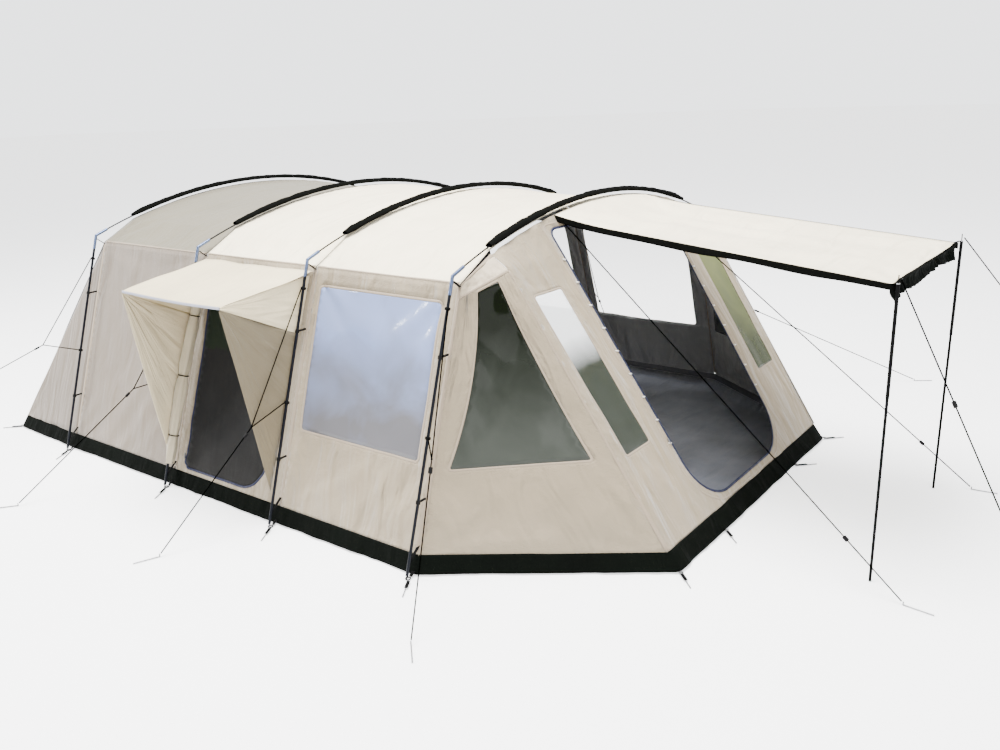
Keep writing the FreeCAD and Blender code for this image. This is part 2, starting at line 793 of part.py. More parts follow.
def zip_sliders():
    """Pull tabs of the front doorway and the side door, each just outside its zip."""
    jamb_low = facet_point(-700, 560)
    jamb_high = facet_point(-752, 1700)
    front = bar(jamb_low + facet_normal() * 8, jamb_high - jamb_low, 36, 12, 6, "front_zip_slider")
    keep(front, "front_zip_slider")
    x = arch_x[2] + 103
    low = wall_point(x, NEAR, 230, 8)
    high = wall_point(x, NEAR, 1400, 8)
    keep(bar(low, high - low, 36, 10, 6, "side_zip_slider"), "side_zip_slider")


# ---------------------------------------------------------------- guy lines

SIDE_GUYS = (
    # arch, side, peg position on the ground, knot where the two branches meet
    (1, NEAR, Vector(-3690, -3144, 0), Vector(-2366, -2086, 842)),
    (2, NEAR, Vector(-1335, -2957, 0), Vector(-902, -2191, 738)),
    (3, NEAR, Vector(217, -2834, 0), Vector(463, -2218, 715)),
    (4, NEAR, Vector(2175, -2661, 0), Vector(1995, -2219, 835)),
    (1, FAR, Vector(-3690, 3144, 0), Vector(-2366, 2086, 842)),
    (2, FAR, Vector(-1335, 2957, 0), Vector(-902, 2191, 738)),
    (3, FAR, Vector(217, 2834, 0), Vector(395, 2169, 686)),
    (4, FAR, Vector(3218, 3135, 0), Vector(2011, 2128, 765)),
)
FRONT_GUYS = (
    # start, peg position on the ground, runner's share of the way
    ("header_near", Vector(1795, -618, 1896), Vector(4133, -908, 0), 0.86),
    ("header_far", Vector(1795, 618, 1896), Vector(4133, 850, 0), 0.86),
    ("awning_near", Vector(3929, -746, 1722), Vector(4850, -905, 0), 0.35),
    ("awning_far", Vector(3929, 746, 1722), Vector(5150, 1390, 0), 0.35),
)
GUY_END_HEIGHT = 14
GUY_END_GAP = 12


def guy_end(peg, from_point):
    """Lower end of a line, just short of the peg's hook."""
    target = Vector(peg.x, peg.y, GUY_END_HEIGHT)
    back = (from_point - target).normalize()
    return target + back * GUY_END_GAP


def leg_tab(arch, side, height, fork):
    """Start of a branch: beside the leg, clear of its surface on the fork's side."""
    tab = leg_point(arch, side, height)
    along = (leg_point(arch, side, 0) - tab).normalize()
    towards = fork - tab
    across = (towards - along * towards.dot(along)).normalize()
    return tab + across * (dim("leg_radius") + dim("guy_radius") + 3)


def double_guy(arch, side, peg, fork):
    """Two branches from the leg that meet at a knot, and the main line to the peg."""
    runs = []
    for height in (dim("upper_tab_height"), dim("lower_tab_height")):
        runs.append(rod(leg_tab(arch, side, height, fork), fork, "guy_radius", "branch"))
    runs.append(rod(fork, guy_end(peg, fork), "guy_radius", "main_line"))
    runs.append(ball(fork, "guy_knot_radius", "knot"))
    return fuse(runs, "double_guy")


def runner(label, start, end, distance):
    """Line runner: a small bored bar that slides on a straight line."""
    along = (end - start).normalize()
    centre = start + along * distance
    length = dim("runner_length")
    body = bar(centre, along, length, dim("runner_width"), dim("runner_depth"), "runner_block")
    bore_start = centre - along * length
    bore_end = centre + along * length
    bore = rod(bore_start, bore_end, "runner_bore_radius", "runner_bore")
    obj = doc.addObject("Part::Cut", label)
    obj.Base = body
    obj.Tool = bore
    return keep(obj, label)


def ground_peg(head, outward, name):
    """Steel peg that lies on the ground, its hooked head turned up."""
    low = Vector(head.x, head.y, dim("peg_radius"))
    along = Vector(outward.x, outward.y, 0).normalize()
    shaft = rod(low, low + along * dim("peg_length"), "peg_radius", "peg_shaft")
    hook = rod(low, Vector(head.x, head.y, dim("peg_hook_height")), "peg_radius", "peg_hook")
    return fuse([shaft, hook, ball(low, "peg_radius", "peg_bend")], name)


def guying():
    double_guys = [double_guy(*guy) for guy in SIDE_GUYS]
    group("side_guys", double_guys)
    front_lines = [rod(start, guy_end(peg, start), "guy_radius", "line") for _, start, peg, _ in FRONT_GUYS]
    group("front_guys", front_lines)
    for arch, side, peg, fork in SIDE_GUYS:
        side_name = "near" if side == NEAR else "far"
        runner(f"runner_{side_name}_{arch}", fork, guy_end(peg, fork), 60)
    for name, start, peg, share in FRONT_GUYS:
        end = guy_end(peg, start)
        runner(f"runner_{name}", start, end, (end - start).Length * share)


def pegs():
    """Pegs at the guy lines and at the tent's own loops."""
    members = []
    for arch, side, peg, _ in SIDE_GUYS:
        members.append(ground_peg(peg, peg - leg_point(arch, side, 0), "guy_peg"))
    for _, start, peg, _ in FRONT_GUYS:
        members.append(ground_peg(peg, peg - start, "guy_peg"))
    for side in (NEAR, FAR):
        for arch in ARCHES:
            head = leg_point(arch, side, 0) + Vector(30, side * 16, 0)
            members.append(ground_peg(head, Vector(0.6, side, 0), "foot_peg"))
        front_corner = Vector(front_corner_x + 12, side * (dim("front_half_width") + 8), 0)
        members.append(ground_peg(front_corner, Vector(1, side, 0), "corner_peg"))
        door_corner = Vector(front_corner_x + 12, side * 620, 0)
        members.append(ground_peg(door_corner, Vector(1, side, 0), "corner_peg"))
        rear_corner = Vector(rear_corner_x - 12, side * (dim("rear_half_width") + 4), 0)
        members.append(ground_peg(rear_corner, Vector(-1, side, 0), "corner_peg"))
    group("pegs", members)


# ---------------------------------------------------------------- build and export

def build():
    frame()
    webbing()
    for arch in ARCHES:
        sleeve(arch)
    roofs()
    side_walls()
    ends_of_tent()
    windows()
    skirt()
    groundsheet()
    bedroom_wall()
    awning()
    awning_pole(NEAR, "awning_pole_near")
    awning_pole(FAR, "awning_pole_far")
    awning_pole_foot(NEAR, "pole_foot_near")
    awning_pole_foot(FAR, "pole_foot_far")
    side_porch()
    zip_sliders()
    guying()
    pegs()


def check():
    doc.recompute()
    for obj in doc.Objects:
        assert "Invalid" not in obj.State and "Error" not in obj.State, obj.Label
    for label in nodes:
        shape = doc.getObjectsByLabel(label)[0].Shape
        assert not shape.isNull() and shape.isValid() and shape.Solids, label


def export():
    os.makedirs("parts", exist_ok=True)
    for label in nodes:
        doc.getObjectsByLabel(label)[0].Shape.exportStep(f"parts/{label}.step")


build()
check()
export()
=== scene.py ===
"""Looks of the tunnel tent: sewn fabric sheets, windows, awning, side porch, guy lines and materials.

Metres, in the CAD frame: +X to the awning, -Y to the porch side, +Z up.
"""
import json
import math

import bpy
import numpy as np
from mathutils import Matrix, Vector, geometry


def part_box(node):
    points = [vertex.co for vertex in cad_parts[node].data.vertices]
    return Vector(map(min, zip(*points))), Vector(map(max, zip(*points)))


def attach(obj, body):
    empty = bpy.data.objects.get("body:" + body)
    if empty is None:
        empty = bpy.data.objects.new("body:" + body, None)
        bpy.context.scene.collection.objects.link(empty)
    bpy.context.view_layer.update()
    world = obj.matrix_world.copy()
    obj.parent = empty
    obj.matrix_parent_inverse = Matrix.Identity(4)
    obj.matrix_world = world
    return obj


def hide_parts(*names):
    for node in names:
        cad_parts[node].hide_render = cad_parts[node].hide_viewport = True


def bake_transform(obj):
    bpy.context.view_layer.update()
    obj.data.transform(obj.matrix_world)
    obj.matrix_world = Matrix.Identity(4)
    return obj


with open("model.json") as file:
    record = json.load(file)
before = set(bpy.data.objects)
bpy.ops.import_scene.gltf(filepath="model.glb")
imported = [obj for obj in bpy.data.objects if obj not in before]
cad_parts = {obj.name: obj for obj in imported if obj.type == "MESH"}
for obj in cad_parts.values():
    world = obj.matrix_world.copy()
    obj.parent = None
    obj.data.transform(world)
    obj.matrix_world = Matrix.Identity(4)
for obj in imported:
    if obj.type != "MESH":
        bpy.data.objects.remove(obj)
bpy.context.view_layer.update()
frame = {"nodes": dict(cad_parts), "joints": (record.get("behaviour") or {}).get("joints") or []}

NEAR = -1
FAR = 1
ARCHES = (1, 2, 3, 4)

# ------------------------------------------------------------------ lines of the tent, from the frame


def box_middle(node):
    low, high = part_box(node)
    return (Vector(low) + Vector(high)) / 2


arch_x = {arch: box_middle(f"arch_rod_{arch}").x for arch in ARCHES}
skirt_low, skirt_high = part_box("ground_skirt")
WALL_FOOT = skirt_high[1]
WALL_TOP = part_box("roof_middle_bay")[1][1]
WALL_TOP_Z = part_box("wall_near_front")[1][2] + 0.004
SKIRT_Z = skirt_high[2]
FRONT_X = skirt_high[0]
REAR_X = skirt_low[0]
ELBOW = Vector((0, 1.633, 1.700))
LEG_FOOT = 2.190
ARCH_HEIGHT = 2.000
ARCH_RADIUS = (ELBOW.y ** 2 + (ARCH_HEIGHT - ELBOW.z) ** 2) / (2 * (ARCH_HEIGHT - ELBOW.z))
ARCH_CENTRE_Z = ARCH_HEIGHT - ARCH_RADIUS
SLEEVE_ANGLE = math.radians(16.2)
ROOF_DROP = 0.025
FACET_PLANE_Z = 1.962
FACET_REACH = 1.284
FRONT_HALF = 1.250
SHOULDER = (1.330, 1.780)
REAR_HALF = 2.094


def wall_half(z):
    return WALL_FOOT + (WALL_TOP - WALL_FOOT) * z / WALL_TOP_Z


def wall_point(x, side, z, out=0.0):
    slope = (WALL_FOOT - WALL_TOP) / WALL_TOP_Z
    normal = Vector((0, side, slope)).normalized()
    return Vector((x, side * wall_half(z), z)) + normal * out


def leg_point(arch, side, z):
    half = LEG_FOOT + (ELBOW.y - LEG_FOOT) * z / ELBOW.z
    return Vector((arch_x[arch], side * half, z))


def facet_point(y, z, out=0.0):
    normal = Vector((FACET_PLANE_Z, 0, FACET_REACH)).normalized()
    return Vector((FRONT_X - FACET_REACH * z / FACET_PLANE_Z, y, z)) + normal * out


def arch_point(x, angle, drop=0.0):
    radius = ARCH_RADIUS - drop
    return Vector((x, radius * math.sin(angle), ARCH_CENTRE_Z + radius * math.cos(angle)))


def lerp(a, b, share):
    return a + (b - a) * share


def clamp(value):
    return np.clip(value, 0, 1)


def bulge(share):
    """0 at both ends of a share that runs from 0 to 1, and 1 in its middle."""
    return np.sin(math.pi * share)


# ------------------------------------------------------------------ noise


def noise(x, y, seed):
    """Smooth value noise from -1 to 1 on arrays, the same each run."""
    table = np.random.default_rng(seed).uniform(-1, 1, (64, 64))
    x, y = np.asarray(x, float), np.asarray(y, float)
    column, row = np.floor(x).astype(int), np.floor(y).astype(int)
    u, v = x - column, y - row
    u, v = u * u * (3 - 2 * u), v * v * (3 - 2 * v)
    a = table[row % 64, column % 64]
    b = table[row % 64, (column + 1) % 64]
    c = table[(row + 1) % 64, column % 64]
    d = table[(row + 1) % 64, (column + 1) % 64]
    return (a * (1 - u) + b * u) * (1 - v) + (c * (1 - u) + d * u) * v


def corner_creases(x, y, corner, reach, depth, seed, count=9):
    """Creases that fan out of a pulled corner and fade with distance."""
    dx, dy = x - corner[0], y - corner[1]
    far = np.hypot(dx, dy)
    turn = np.arctan2(dy, dx)
    wave = np.sin(turn * count + 2.5 * noise(turn * 3 + 7, far * 2, seed) + seed)
    return depth * wave * np.exp(-far / reach) * clamp(far / (0.25 * reach))


# ------------------------------------------------------------------ materials

TENT_MIDDLE = (0, 0, 0.9)
DUST_COLOUR = (0.24, 0.21, 0.17, 1)
DUST_HEIGHT = 0.45
SEAM_REACH = 0.11
STAIN_SCALE = 1.7
SPECK_SCALE = 23.0
FOLD_SCALE = 9.0
GATHER_SCALE = 55.0
THREAD_DEPTH = 0.0004


class Look:
    """One material's shader nodes, with short ways to add and join them."""

    def __init__(self, name):
        self.material = bpy.data.materials.new(name)
        self.material.use_nodes = True
        self.tree = self.material.node_tree
        place = self.tree.nodes.new("ShaderNodeTexCoord")
        self.place, self.pattern = place.outputs["Object"], place.outputs["UV"]

    def fill(self, node, values):
        """Set each named input to its value, or join it to the socket given."""
        for key, value in values.items():
            if isinstance(value, bpy.types.NodeSocket):
                self.tree.links.new(value, node.inputs[key])
            else:
                node.inputs[key].default_value = value

    def add(self, kind, values, output=0, **settings):
        node = self.tree.nodes.new(f"ShaderNode{kind}")
        for key, value in settings.items():
            setattr(node, key, value)
        self.fill(node, values)
        return node.outputs[output]

    def noise(self, vector, scale, detail, roughness=0.5, distortion=0.0):
        return self.add("TexNoise", {"Vector": vector, "Scale": scale, "Detail": detail,
                                     "Roughness": roughness, "Distortion": distortion})

    def ramp(self, factor, colours, positions):
        tone = self.add("ValToRGB", {"Fac": factor})
        for element, colour, position in zip(tone.node.color_ramp.elements, colours, positions):
            element.position = position
            element.color = (*colour, 1)
        return tone

    def fade(self, value, start, end, first, last):
        """Map a value's range from start to end onto first to last."""
        return self.add("MapRange", {"Value": value, "From Min": start, "From Max": end,
                                     "To Min": first, "To Max": last})

    def math(self, operation, *values):
        return self.add("Math", dict(enumerate(values)), operation=operation)

    def mix(self, factor, under, over, blend_type="MIX"):
        return self.add("Mix", {"Factor": factor, "A": under, "B": over}, "Result",
                        data_type="RGBA", blend_type=blend_type)

    def bump(self, height, strength, distance, under=None):
        normal = {"Normal": under} if under else {}
        return self.add("Bump", {"Height": height, "Strength": strength, "Distance": distance, **normal})

    def height(self):
        return self.add("SeparateXYZ", {"Vector": self.place}, "Z")

    def inward(self):
        """1 on faces that look towards the middle of the tent, 0 on the others."""
        position = self.add("NewGeometry", {}, "Position")
        normal = position.node.outputs["True Normal"]
        from_middle = self.add("VectorMath", {0: position, 1: TENT_MIDDLE}, "Vector", operation="SUBTRACT")
        facing = self.add("VectorMath", {0: from_middle, 1: normal}, "Value", operation="DOT_PRODUCT")
        return self.math("LESS_THAN", facing, 0.0)

    def finish(self, values):
        self.fill(self.tree.nodes["Principled BSDF"], values)
        return self.material


def grey(level):
    return (level, level, level, 1)


def scaled(colour, factor):
    return tuple(min(1.0, channel * factor) for channel in colour)


def cloth(name, colour, roughness=0.62, sheen=0.2, weave=900.0, wear=0.10, crease=0.5, dust=0.35,
          specular=0.3, painted_inside=None):
    """Coated plain weave: threads, creases, puckered seams, faint stains, a dusty foot, and inside faces
    painted a flat grey for the lighting inside the tent.
    """
    look = Look(name)
    tone = look.ramp(look.noise(look.place, STAIN_SCALE, 6.0, 0.6),
                     (scaled(colour, 1 - wear), scaled(colour, 1 + wear * 0.6)), (0.32, 0.68))
    threads = look.add("TexBrick", {"Vector": look.pattern, "Scale": weave, "Mortar Size": 0.12,
                                    "Brick Width": 0.5, "Row Height": 0.5, "Color1": grey(1.0),
                                    "Color2": grey(0.93), "Mortar": grey(0.80)}, offset=0.5)
    woven = look.mix(0.55, tone, threads, "MULTIPLY")
    low_down = look.fade(look.height(), 0.0, DUST_HEIGHT, dust, 0.0)
    dustiness = look.math("MULTIPLY", low_down, look.noise(look.place, SPECK_SCALE, 8.0, 0.7))
    base = look.mix(dustiness, woven, DUST_COLOUR)
    # Inside faces: painted interior lighting, a flat grey set to how the shaded inside of the tent looks.
    if painted_inside:
        base = look.mix(look.inward(), base, (*painted_inside, 1))
    slant = look.add("Mapping", {"Vector": look.pattern, "Rotation": (0, 0, math.radians(28)),
                                 "Scale": (3.2, 0.9, 1)})
    drag = look.bump(look.noise(slant, 2.0, 2.0, 0.45, 0.9), crease, 0.06)
    folds = look.bump(look.noise(look.place, FOLD_SCALE, 5.0, 0.55, 0.6), crease * 0.6, 0.016, drag)
    seam = look.add("Attribute", {}, "Fac", attribute_name="seam")
    gathers = look.math("MULTIPLY", look.fade(seam, 0.0, SEAM_REACH, 1.0, 0.0),
                        look.noise(look.pattern, GATHER_SCALE, 2.0, 0.4, 1.2))
    gathered = look.bump(gathers, 0.5, 0.012, folds)
    surface = look.bump(threads.node.outputs["Fac"], 0.25, THREAD_DEPTH, gathered)
    return look.finish({"Base Color": base, "Normal": surface, "Roughness": roughness,
                        "Sheen Weight": sheen, "Sheen Roughness": 0.5, "Specular IOR Level": specular})


def film(name, low, high, alpha, z_low, z_high, reflection_patchiness=0.25, gloss=0.5):
    """Clear window film: painted reflections in a tint that changes with height and in blotches, and a glossy
    surface.
    """
    look = Look(name)
    # Blotches of painted reflection across the film.
    patchy_reflection = look.math("SUBTRACT", look.noise(look.place, 2.6, 3.0, 0.5, 0.8), 0.5)
    swing = look.math("MULTIPLY_ADD", patchy_reflection, reflection_patchiness * 4, look.fade(look.height(), z_low, z_high, 0.0, 1.0))
    surface = look.bump(look.noise(look.place, 5.0, 2.0), 0.25, 0.02)
    return look.finish({"Base Color": look.ramp(swing, (low, high), (0.05, 0.95)), "Normal": surface,
                        "Roughness": 0.12, "IOR": 1.5, "Specular IOR Level": gloss, "Alpha": alpha})


def solid(name, colour, roughness, metallic=0.0, specular=0.5):
    """Metal or plastic with a fine grain, darker scuffs and a light bump."""
    look = Look(name)
    scuff = look.noise(look.place, 60.0, 6.0, 0.65)
    tone = look.ramp(scuff, (scaled(colour, 0.75), scaled(colour, 1.25)), (0.35, 0.65))
    return look.finish({"Base Color": tone, "Normal": look.bump(scuff, 0.1, 0.001), "Roughness": roughness,
                        "Metallic": metallic, "Specular IOR Level": specular})


# Painted interior lighting: the grey that the inside faces of the walls take.
PAINTED_INSIDE_GREY = (0.25, 0.25, 0.25)
ROOF = cloth("roof_cloth", (0.94, 0.83, 0.60), crease=0.6)
WALL = cloth("wall_cloth", (0.262, 0.210, 0.138), crease=1.0, painted_inside=PAINTED_INSIDE_GREY)
CORNER = cloth("corner_cloth", (0.44, 0.36, 0.255), crease=1.0)
REAR = cloth("rear_cloth", (0.155, 0.123, 0.090), crease=0.35, painted_inside=PAINTED_INSIDE_GREY)
REAR_ROOF = cloth("rear_roof_cloth", (0.152, 0.133, 0.090), crease=0.35)
CANOPY = cloth("canopy_cloth", (0.70, 0.59, 0.375))
CHEEK_REAR = cloth("rear_cheek_cloth", (0.60, 0.51, 0.34), crease=0.4)
CHEEK_FRONT = cloth("front_cheek_cloth", (0.160, 0.128, 0.074), crease=0.4)
ROLL = cloth("roll_cloth", (0.42, 0.36, 0.25), crease=1.0)
TAPE = cloth("tape_cloth", (0.28, 0.22, 0.155), wear=0.08, crease=0.2)
# The skirt's inside faces are painted a lighter grey for the lighting inside the tent.
DARK = cloth("skirt_cloth", (0.0009, 0.0018, 0.0010), 0.85, 0.0, wear=0.3, dust=0.004, specular=0.04,
             painted_inside=(0.13, 0.13, 0.135))
HEM = cloth("hem_cloth", (0.34, 0.35, 0.42), wear=0.08, crease=0.2, dust=0.0)
SLEEVE = cloth("sleeve_cloth", (0.0012, 0.0014, 0.0009), 0.85, 0.0, wear=0.25, dust=0.0, specular=0.04)
PIPING = cloth("piping_cloth", (0.012, 0.015, 0.040), 0.5, 0.0, dust=0.0, specular=0.2)
BEDROOM = cloth("bedroom_cloth", (0.05, 0.048, 0.05), 0.8, 0.1, weave=700)
FLOOR_SHEET = cloth("groundsheet_cloth", (0.15, 0.165, 0.21), 0.5, weave=300, wear=0.45, crease=0.25,
                    dust=0.15)
MESH = cloth("mesh_cloth", (0.0085, 0.0083, 0.0082), 0.85, 0.03, weave=420, wear=0.2, crease=0.12, dust=0.04,
             specular=0.12)
MESH_TOP = cloth("mesh_top_cloth", (0.0068, 0.0120, 0.0056), 0.85, 0.03, weave=420, wear=0.2, crease=0.12,
                 dust=0.04, specular=0.12)
WEBBING = cloth("webbing_cloth", (0.004, 0.004, 0.004), 0.85, 0.0, weave=500, dust=0.0, specular=0.05)
# Window tints are painted reflections and light: sky blue high on the near side windows, the dark green of
# trees on the wing and front windows, and white high on the near front window.
SIDE_FILM = film("side_film", (0.115, 0.112, 0.120), (0.205, 0.260, 0.440), 0.90, 0.70, 1.40, 0.26, 0.3)
FAR_FILM = film("far_film", (0.92, 0.94, 0.96), (0.95, 0.96, 0.97), 0.10, 0.62, 1.53, 0.05)
WING_FILM = film("wing_film", (0.043, 0.047, 0.040), (0.0015, 0.0028, 0.0002), 0.97, 0.62, 1.40, 0.16, 0.10)
NARROW_FILM = film("near_front_film", (0.036, 0.042, 0.030), (0.90, 0.92, 0.93), 0.55, 1.08, 1.28, 0.10, 0.12)
FAR_NARROW_FILM = film("far_front_film", (0.055, 0.062, 0.036), (0.135, 0.148, 0.060), 0.90, 0.70, 1.45,
                       0.30, 0.12)
STEEL = solid("leg_steel", (0.004, 0.005, 0.008), 0.34, 0.5, specular=0.2)
CONNECTOR = solid("connector_paint", (0.085, 0.115, 0.20), 0.30, 0.75)
ROD = solid("rod_fibreglass", (0.004, 0.004, 0.005), 0.45, specular=0.12)
BLACK = solid("black_nylon", (0.003, 0.003, 0.003), 0.6, specular=0.10)
PEG = solid("peg_steel", (0.30, 0.30, 0.31), 0.35, 0.5)
POLE = solid("pole_paint", (0.0012, 0.0012, 0.0014), 0.6, 0.0, specular=0.06)
CORD = cloth("cord_braid", (0.0008, 0.0010, 0.0007), 0.95, 0.0, weave=400, dust=0.0, specular=0.0)
LOOP = cloth("loop_cloth", (0.75, 0.72, 0.66), dust=0.0)
ZIP = solid("zip_metal", (0.2, 0.2, 0.2), 0.35, 0.7)


def paint(obj, material):
    obj.data.materials.clear()
    obj.data.materials.append(material)
    return obj


def dress(obj, material, body="tent", replaces=()):
    """Give a finished piece its material, slot and body, and hide the frame nodes it stands for."""
    paint(obj, material)
    if body:
        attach(obj, body)
    if replaces:
        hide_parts(*replaces)
    return obj


def add_object(name, data):
    obj = bpy.data.objects.new(name, data)
    bpy.context.scene.collection.objects.link(obj)
    return obj


def aim(obj, direction, axis="Z"):
    """Turn an object so that one of its axes points along a direction."""
    obj.rotation_mode = "QUATERNION"
    obj.rotation_quaternion = direction.to_track_quat(axis, "Y")


def paint_node(name, material):
    node = frame["nodes"][name]
    for slot in node.material_slots:
        slot.material = material
    if not node.material_slots:
        node.data.materials.append(material)


FRAME_LOOKS = {"arch_rod_": ROD, "legs_": STEEL, "elbow_connectors": CONNECTOR, "foot_pins": BLACK,
               "pegs": PEG, "pole_clips": BLACK, "awning_pole_": POLE, "pole_foot_": POLE,
               "runner_": BLACK, "front_zip_slider": ZIP, "side_zip_slider": ZIP}


def paint_frame():
    """Material of each CAD piece that stays on show, by the start of its name."""
    for name in frame["nodes"]:
        for start, material in FRAME_LOOKS.items():
            if name.startswith(start):
                paint_node(name, material)


# ------------------------------------------------------------------ sewn sheets


def running_length(points):
    """Length along a polyline at each of its points."""
    return np.concatenate([[0], np.cumsum(np.linalg.norm(np.diff(points, axis=0), axis=1))])


def unit(vectors, least=1e-9):
    return vectors / np.maximum(np.linalg.norm(vectors, axis=-1), least)[..., None]


def grid_faces(rows, columns, closed):
    """Quads between neighbouring rows of points; closed joins each row's last point to its first."""
    faces = []
    for row in range(rows - 1):
        for index in range(columns if closed else columns - 1):
            other = (index + 1) % columns
            faces.append((row * columns + index, row * columns + other,
                          (row + 1) * columns + other, (row + 1) * columns + index))
    return faces


def rectangle(width, height):
    return [(0, 0), (width, 0), (width, height), (0, height)]


def resample(points, step, closed=True):
    """Points along a polyline at most a step apart, corners kept."""
    points = [np.array(point, float) for point in points]
    ends = points[1:] + points[:1] if closed else points[1:]
    found = []
    for start, end in zip(points, ends):
        count = max(1, int(math.ceil(np.linalg.norm(end - start) / step)))
        found += [start + (end - start) * index / count for index in range(count)]
    if not closed:
        found.append(points[-1])
    return found


def rounded(corners, radii, steps=7):
    """2D outline with rounded corners."""
    outline = []
    for index, (corner, radius) in enumerate(zip(corners, radii)):
        corner = Vector(corner)
        to_last = (Vector(corners[index - 1]) - corner).normalized()
        to_next = (Vector(corners[(index + 1) % len(corners)]) - corner).normalized()
        half = to_last.angle(to_next) / 2
        if radius <= 0:
            outline.append(tuple(corner))
            continue
        reach = radius / math.tan(half)
        centre = corner + (to_last + to_next).normalized() * radius / math.sin(half)
        start = corner + to_last * reach - centre
        sweep = start.angle_signed(corner + to_next * reach - centre)
        for step in range(steps + 1):
            turn = -sweep * step / steps
            turned = Vector((start.x * math.cos(turn) - start.y * math.sin(turn),
                             start.x * math.sin(turn) + start.y * math.cos(turn)))
            outline.append(tuple(centre + turned))
    return outline


def inside(points, outline):
    """Which points lie inside a closed 2D outline."""
    points, outline = np.asarray(points, float), np.asarray(outline, float)
    x, y = points[:, 0][:, None], points[:, 1][:, None]
    start, end = outline, np.roll(outline, -1, axis=0)
    crosses = (start[:, 1] > y) != (end[:, 1] > y)
    rise = np.where(end[:, 1] == start[:, 1], 1e-12, end[:, 1] - start[:, 1])
    where = start[:, 0] + (y - start[:, 1]) * (end[:, 0] - start[:, 0]) / rise
    return (crosses & (x < where)).sum(axis=1) % 2 == 1


def distance_to(points, outline):
    """Distance of each point from a closed 2D outline."""
    points, outline = np.asarray(points, float), np.asarray(outline, float)
    start, end = outline, np.roll(outline, -1, axis=0)
    along = end - start
    size = np.maximum((along ** 2).sum(axis=1), 1e-12)
    best = np.full(len(points), 1e9)
    for index in range(len(start)):
        share = clamp(((points - start[index]) @ along[index]) / size[index])
        near = start[index] + share[:, None] * along[index]
        best = np.minimum(best, np.linalg.norm(points - near, axis=1))
    return best


def cut_cloth(outline, holes, cell):
    """Triangles of a flat pattern: the sheet round its holes, and what fills each hole."""
    rings = [resample(ring, cell) for ring in [outline, *holes]]
    points = [tuple(point) for ring in rings for point in ring]
    edges = []
    first = 0
    for ring in rings:
        count = len(ring)
        edges += [(first + index, first + (index + 1) % count) for index in range(count)]
        first += count
    low, high = np.min(outline, axis=0), np.max(outline, axis=0)
    across = np.arange(low[0] + cell / 2, high[0], cell)
    up = np.arange(low[1] + cell / 2, high[1], cell * 0.87)
    grid = np.array([(x + (cell / 2 if row % 2 else 0), y) for row, y in enumerate(up) for x in across])
    if len(grid):
        keep = inside(grid, outline)
        for ring in [outline, *holes]:
            keep &= distance_to(grid, ring) > 0.45 * cell
        points += [tuple(point) for point in grid[keep]]
    made = geometry.delaunay_2d_cdt([Vector(point) for point in points], edges, [], 0, 1e-6)
    flat = np.array([tuple(vertex) for vertex in made[0]])
    faces = np.array([tuple(face) for face in made[2]])
    middles = flat[faces].mean(axis=1)
    in_sheet = inside(middles, outline)
    fills = []
    for hole in holes:
        in_hole = inside(middles, hole)
        fills.append(faces[in_hole])
        in_sheet &= ~in_hole
    return flat, faces[in_sheet], fills


def make_mesh(name, points, faces, uvs=None, seams=None):
    """Mesh of the points that faces use; seams is each point's distance from a seam."""
    faces = np.asarray(faces)
    used = np.unique(faces)
    renumber = np.full(len(points), -1)
    renumber[used] = np.arange(len(used))
    mesh = bpy.data.meshes.new(name)
    mesh.from_pydata([tuple(points[index]) for index in used], [], renumber[faces].tolist())
    if uvs is not None:
        layer = mesh.uv_layers.new(name="cloth")
        corner_index = np.empty(len(mesh.loops), int)
        mesh.loops.foreach_get("vertex_index", corner_index)
        layer.data.foreach_set("uv", np.asarray(uvs)[used][corner_index].astype(np.float32).ravel())
    mesh.shade_smooth()
    distance = np.full(len(used), 1.0) if seams is None else np.asarray(seams)[used]
    attribute = mesh.attributes.new("seam", "FLOAT", "POINT")
    attribute.data.foreach_set("value", distance.astype(np.float32))
    return add_object(name, mesh)


def thicken(obj, thickness):
    solidify = obj.modifiers.new("thickness", "SOLIDIFY")
    solidify.thickness = thickness
    solidify.offset = 0
    return obj


def shaped(flat, surface, relief):
    """3D points of a flat pattern: the surface, moved along its normal by the relief."""
    step = 0.004
    here = surface(flat[:, 0], flat[:, 1])
    right = surface(flat[:, 0] + step, flat[:, 1]) - here
    up = surface(flat[:, 0], flat[:, 1] + step) - here
    normal = unit(np.cross(right, up), 1e-12)
    return here + normal * relief(flat[:, 0], flat[:, 1])[:, None]


def area_of(outline):
    x, y = np.asarray(outline, float).T
    return abs((x * np.roll(y, -1) - y * np.roll(x, -1)).sum()) / 2


CLOTH_THICKNESS = 0.0014
FILM_THICKNESS = 0.0008


def declare_sheet(outline, area):
    """Flat size of a cut panel, worked out and not kept; the area argument is not used."""
    size = np.ptp(np.asarray(outline), axis=0)


class Sheet:
    """One sewn panel: a flat pattern, the surface it takes and the relief of its creases."""

    def __init__(self, name, outline, surface, relief, holes=(), cell=0.035):
        self.name = name
        self.outline = outline
        self.surface = surface
        self.relief = relief
        self.holes = [list(hole) for hole in holes]
        self.flat, self.faces, self.fills = cut_cloth(outline, self.holes, cell)
        self.points = shaped(self.flat, surface, relief)
        self.seams = np.min([distance_to(self.flat, ring) for ring in [outline, *self.holes]], axis=0)

    def lift(self, points, height):
        """3D points at a height over the finished cloth."""
        flat = np.asarray(points, float)
        return shaped(flat, self.surface, lambda x, y: self.relief(x, y) + height)

    def build(self, material, body="tent", replaces=()):
        obj = make_mesh(self.name, self.points, self.faces, self.flat, self.seams)
        dress(thicken(obj, CLOTH_THICKNESS), material, body, replaces)
        area = area_of(self.outline) - sum(area_of(hole) for hole in self.holes)
        declare_sheet(self.outline, area)
        return obj

    def pane(self, index, name, material, replaces=()):
        """Window or mesh that fills one of the sheet's holes."""
        obj = make_mesh(name, self.points, self.fills[index], self.flat)
        dress(thicken(obj, FILM_THICKNESS), material, "tent", replaces)
        declare_sheet(self.holes[index], area_of(self.holes[index]))
        return obj


